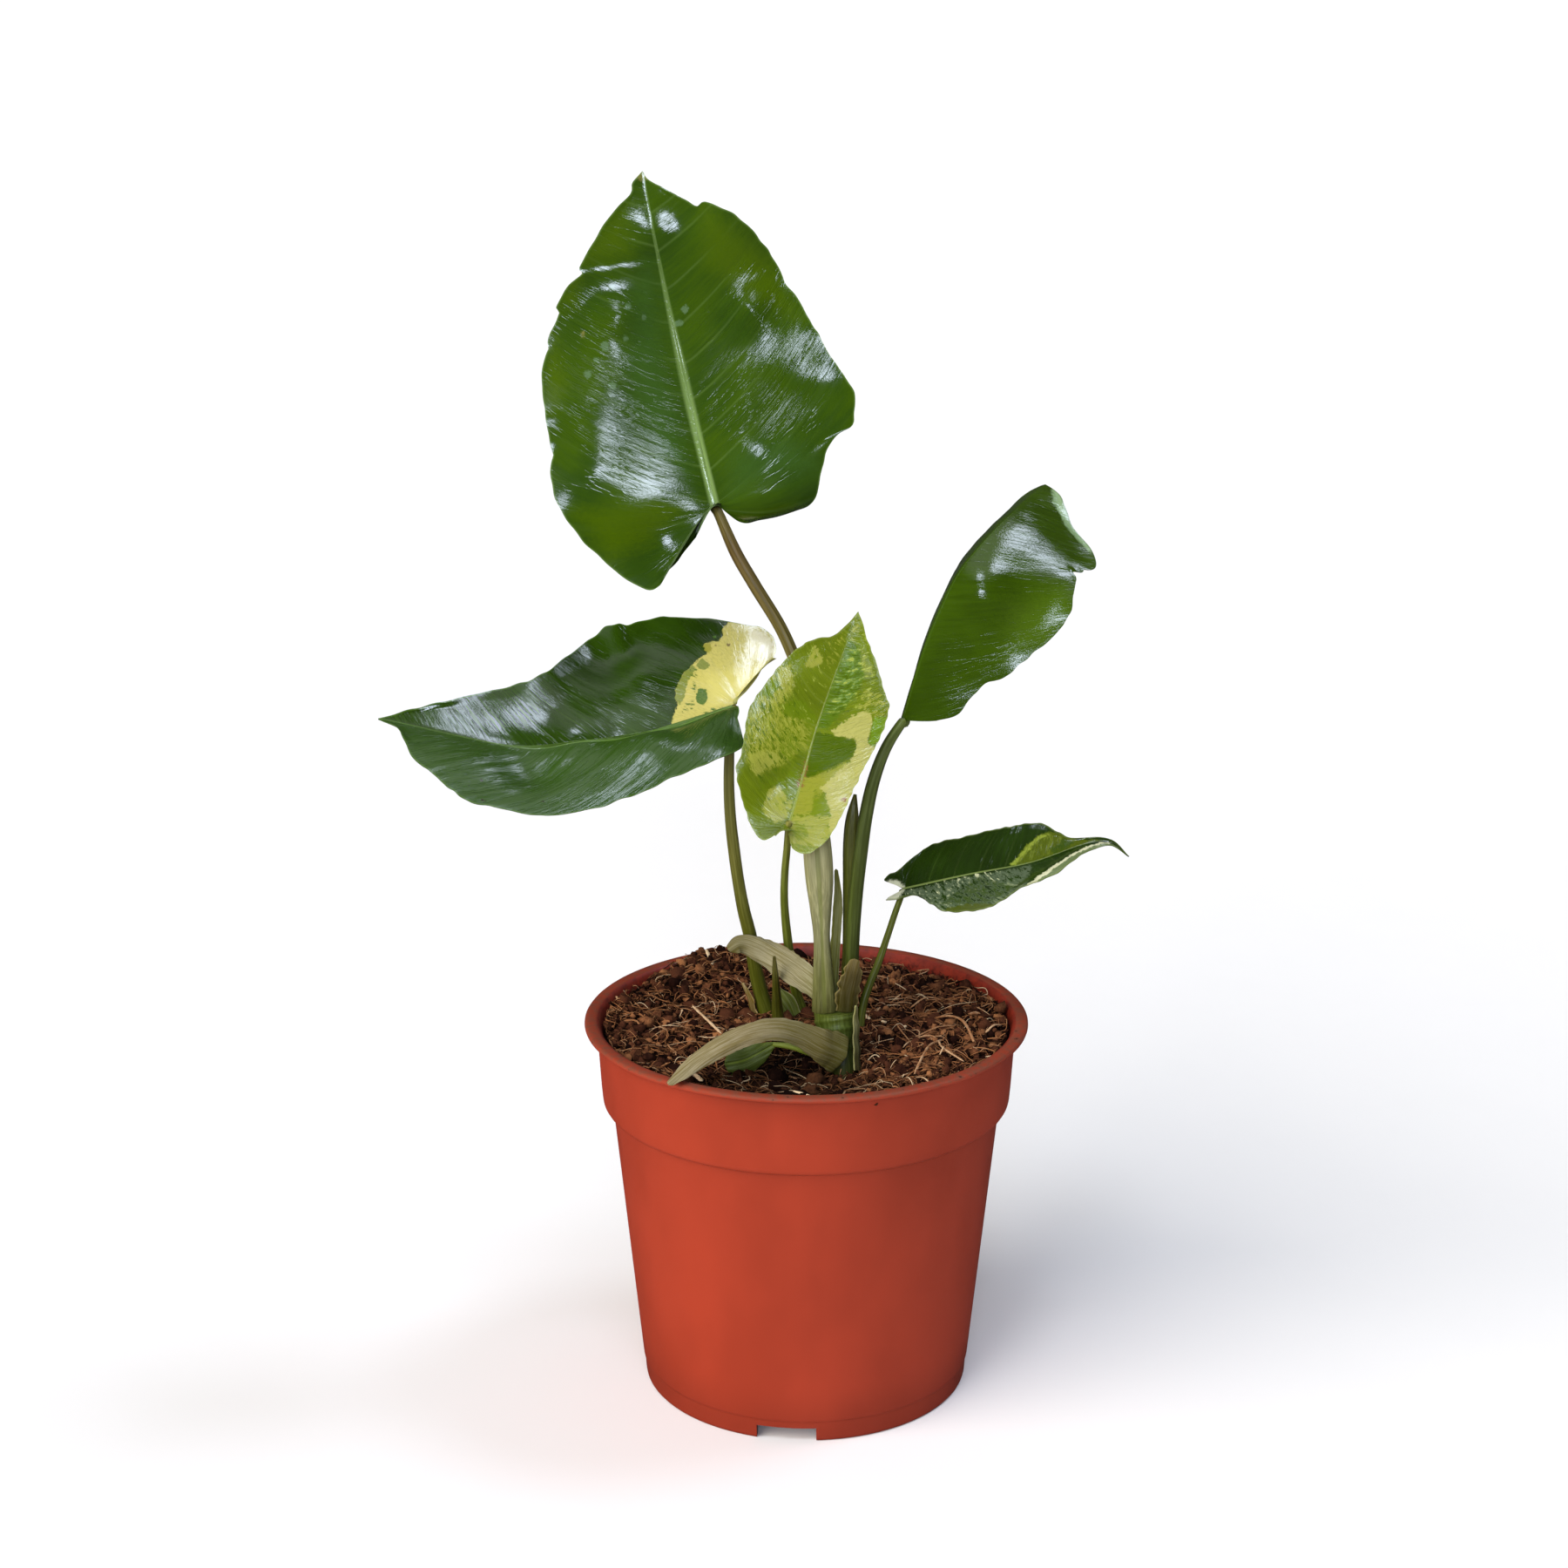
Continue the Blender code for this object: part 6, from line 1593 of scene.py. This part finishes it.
# Windows that the leaves mirror: strength, direction left of the camera, height and width in degrees
WINDOWS = {"front_window": (1.0, 2, 24, 15), "high_window": (0.7, 8, 66, 16),
           "back_window": (0.72, -100, 62, 16)}
KEY_WIDTH = 60                       # degrees, wide enough for soft shadows


def make_floor(look):
    """Seamless paper, matt and faintly fibrous, so it stays plain behind the plant."""
    bm = bmesh.new()
    bmesh.ops.create_grid(bm, x_segments=80, y_segments=80, size=FLOOR_REACH)
    for point in bm.verts:
        point.co.z = FLOOR_RISE * max(0, point.co.length - FLOOR_FLAT) ** 2
    data = bpy.data.meshes.new("floor")
    bm.to_mesh(data)
    bm.free()
    data.shade_smooth()
    floor = bpy.data.objects.new("floor", data)
    bpy.context.scene.collection.objects.link(floor)
    made, add = new_material("seamless_paper")
    place = add("TexCoord").node.outputs["Object"]
    # Clouds 33 mm wide, as single fibres would not show
    cloud = add("TexNoise", place, Scale=1 / (33.33 * MM))
    paper = add(MIX, cloud, [c * 0.985 for c in look.floor], look.floor[:])
    finish_material(add, Base_Color=paper, Roughness=0.85, Specular_IOR_Level=0.2)
    data.materials.append(made)
    floor.visible_glossy = False


def hang_lamp(name, strength, turn, rise, wide, tint):
    """A far lamp, seen as a soft disc in the leaves' wax unless it is the main light."""
    lamp = bpy.data.lights.new(name, "SUN")
    lamp.energy = strength
    lamp.angle = math.radians(wide)
    lamp.color = hex_rgb(tint)
    lit = bpy.data.objects.new(name, lamp)
    towards = Vector((-math.sin(turn) * math.cos(rise), -math.cos(turn) * math.cos(rise),
                      math.sin(rise)))
    lit.rotation_euler = towards.to_track_quat("Z", "Y").to_euler()
    lit.visible_glossy = name != "key"
    bpy.context.scene.collection.objects.link(lit)


def make_stage():
    """A pale floor, a soft main light from the front left, soft light above and the camera."""
    look = bpy.context.scene.philodendron_stage
    scene = bpy.context.scene
    scene.view_settings.view_transform = "Standard"
    make_floor(look)
    scene.world = bpy.data.worlds.new("studio_air")
    scene.world.use_nodes = True
    tree = scene.world.node_tree
    add = partial(add_node, tree)
    air = tree.nodes["Background"]
    air.inputs["Color"].default_value = (*look.air, 1)
    way = add("TexCoord").node.outputs["Generated"]
    up = add("SeparateXYZ", way).node.outputs["Z"]
    glow = add(RAMP, up, 0.76, 1, look.fill, look.ceiling)
    tree.links.new(glow, air.inputs["Strength"])
    hang_lamp("key", look.key, look.key_turn, look.key_rise, KEY_WIDTH, "#fffaf4")
    for name, (strength, turn, rise, wide) in WINDOWS.items():
        hang_lamp(name, strength, math.radians(turn), math.radians(rise), wide, "#dfeaff")
    lens = bpy.data.cameras.new("photo_camera")
    lens.lens = CAMERA_LENS
    lens.sensor_width = 36
    lens.clip_start = 0.02
    lens.clip_end = 500
    camera = bpy.data.objects.new("photo_camera", lens)
    camera.location = Vector(CAMERA_PLACE) * MM
    camera.rotation_euler = (math.radians(90) - CAMERA_PITCH, 0, 0)
    scene.collection.objects.link(camera)
    scene.camera = camera


class PHILODENDRON_OT_stage(bpy.types.Operator):
    """Set the floor, the lights and the camera"""
    bl_idname = "philodendron.stage"
    bl_label = "Studio"

    def execute(self, context):
        make_stage()
        return {"FINISHED"}


class PHILODENDRON_OT_pot(bpy.types.Operator):
    """Build the moulded nursery pot"""
    bl_idname = "philodendron.pot"
    bl_label = "Pot"

    def execute(self, context):
        make_pot()
        return {"FINISHED"}


class PHILODENDRON_OT_soil(bpy.types.Operator):
    """Fill the pot with soil, crumbs, fibres and chips"""
    bl_idname = "philodendron.soil"
    bl_label = "Soil"

    def execute(self, context):
        make_soil()
        return {"FINISHED"}


class PHILODENDRON_OT_stalks(bpy.types.Operator):
    """Grow the shoots and the leaf stalks"""
    bl_idname = "philodendron.stalks"
    bl_label = "Stalks"

    def execute(self, context):
        for seed, (name, form) in enumerate(STALKS.items()):
            make_stalk(name, form, 60 + seed)
        return {"FINISHED"}


class PHILODENDRON_OT_bracts(bpy.types.Operator):
    """Grow the bracts, the sheaths and the small leaf"""
    bl_idname = "philodendron.bracts"
    bl_label = "Bracts and sheaths"

    def execute(self, context):
        for seed, (name, form) in enumerate(STRAPS.items()):
            make_strap(name, form, 80 + 5 * seed)
        return {"FINISHED"}


class PHILODENDRON_OT_leaves(bpy.types.Operator):
    """Grow the five leaf blades"""
    bl_idname = "philodendron.leaves"
    bl_label = "Leaves"

    def execute(self, context):
        for seed, name in enumerate(LEAVES):
            make_leaf(name, 100 + 20 * seed)
        return {"FINISHED"}


class PHILODENDRON_PT_panel(bpy.types.Panel):
    """The plant's pieces and their settings"""
    bl_label = "Potted philodendron"
    bl_space_type = "VIEW_3D"
    bl_region_type = "UI"
    bl_category = "Philodendron"

    def draw(self, context):
        for operator, settings in PIECES:
            box = self.layout.box()
            box.operator(operator.bl_idname)
            group = getattr(context.scene, settings, None)
            for key in type(group).__annotations__ if group else ():
                box.prop(group, key)


GROUPS = {
    "philodendron_stage": StageSettings,
    "philodendron_pot": PotSettings,
    "philodendron_soil": SoilSettings,
    "philodendron_stalks": StalkSettings,
    "philodendron_leaves": LeafSettings,
}
PIECES = [
    (PHILODENDRON_OT_stage, "philodendron_stage"),
    (PHILODENDRON_OT_pot, "philodendron_pot"),
    (PHILODENDRON_OT_soil, "philodendron_soil"),
    (PHILODENDRON_OT_stalks, "philodendron_stalks"),
    (PHILODENDRON_OT_bracts, ""),
    (PHILODENDRON_OT_leaves, "philodendron_leaves"),
]


def register():
    """Make the settings, the operators and the panel known."""
    for group in GROUPS.values():
        bpy.utils.register_class(group)
    for operator, _ in PIECES:
        bpy.utils.register_class(operator)
    bpy.utils.register_class(PHILODENDRON_PT_panel)
    for name, group in GROUPS.items():
        setattr(bpy.types.Scene, name, PointerProperty(type=group))


def unregister():
    """Take them away again."""
    for name in GROUPS:
        delattr(bpy.types.Scene, name)
    bpy.utils.unregister_class(PHILODENDRON_PT_panel)
    for operator, _ in reversed(PIECES):
        bpy.utils.unregister_class(operator)
    for group in reversed(list(GROUPS.values())):
        bpy.utils.unregister_class(group)


def main():
    """Build the whole scene."""
    register()
    for operator, _ in PIECES:
        group, name = operator.bl_idname.split(".")
        getattr(getattr(bpy.ops, group), name)()


if __name__ == "__main__":
    main()
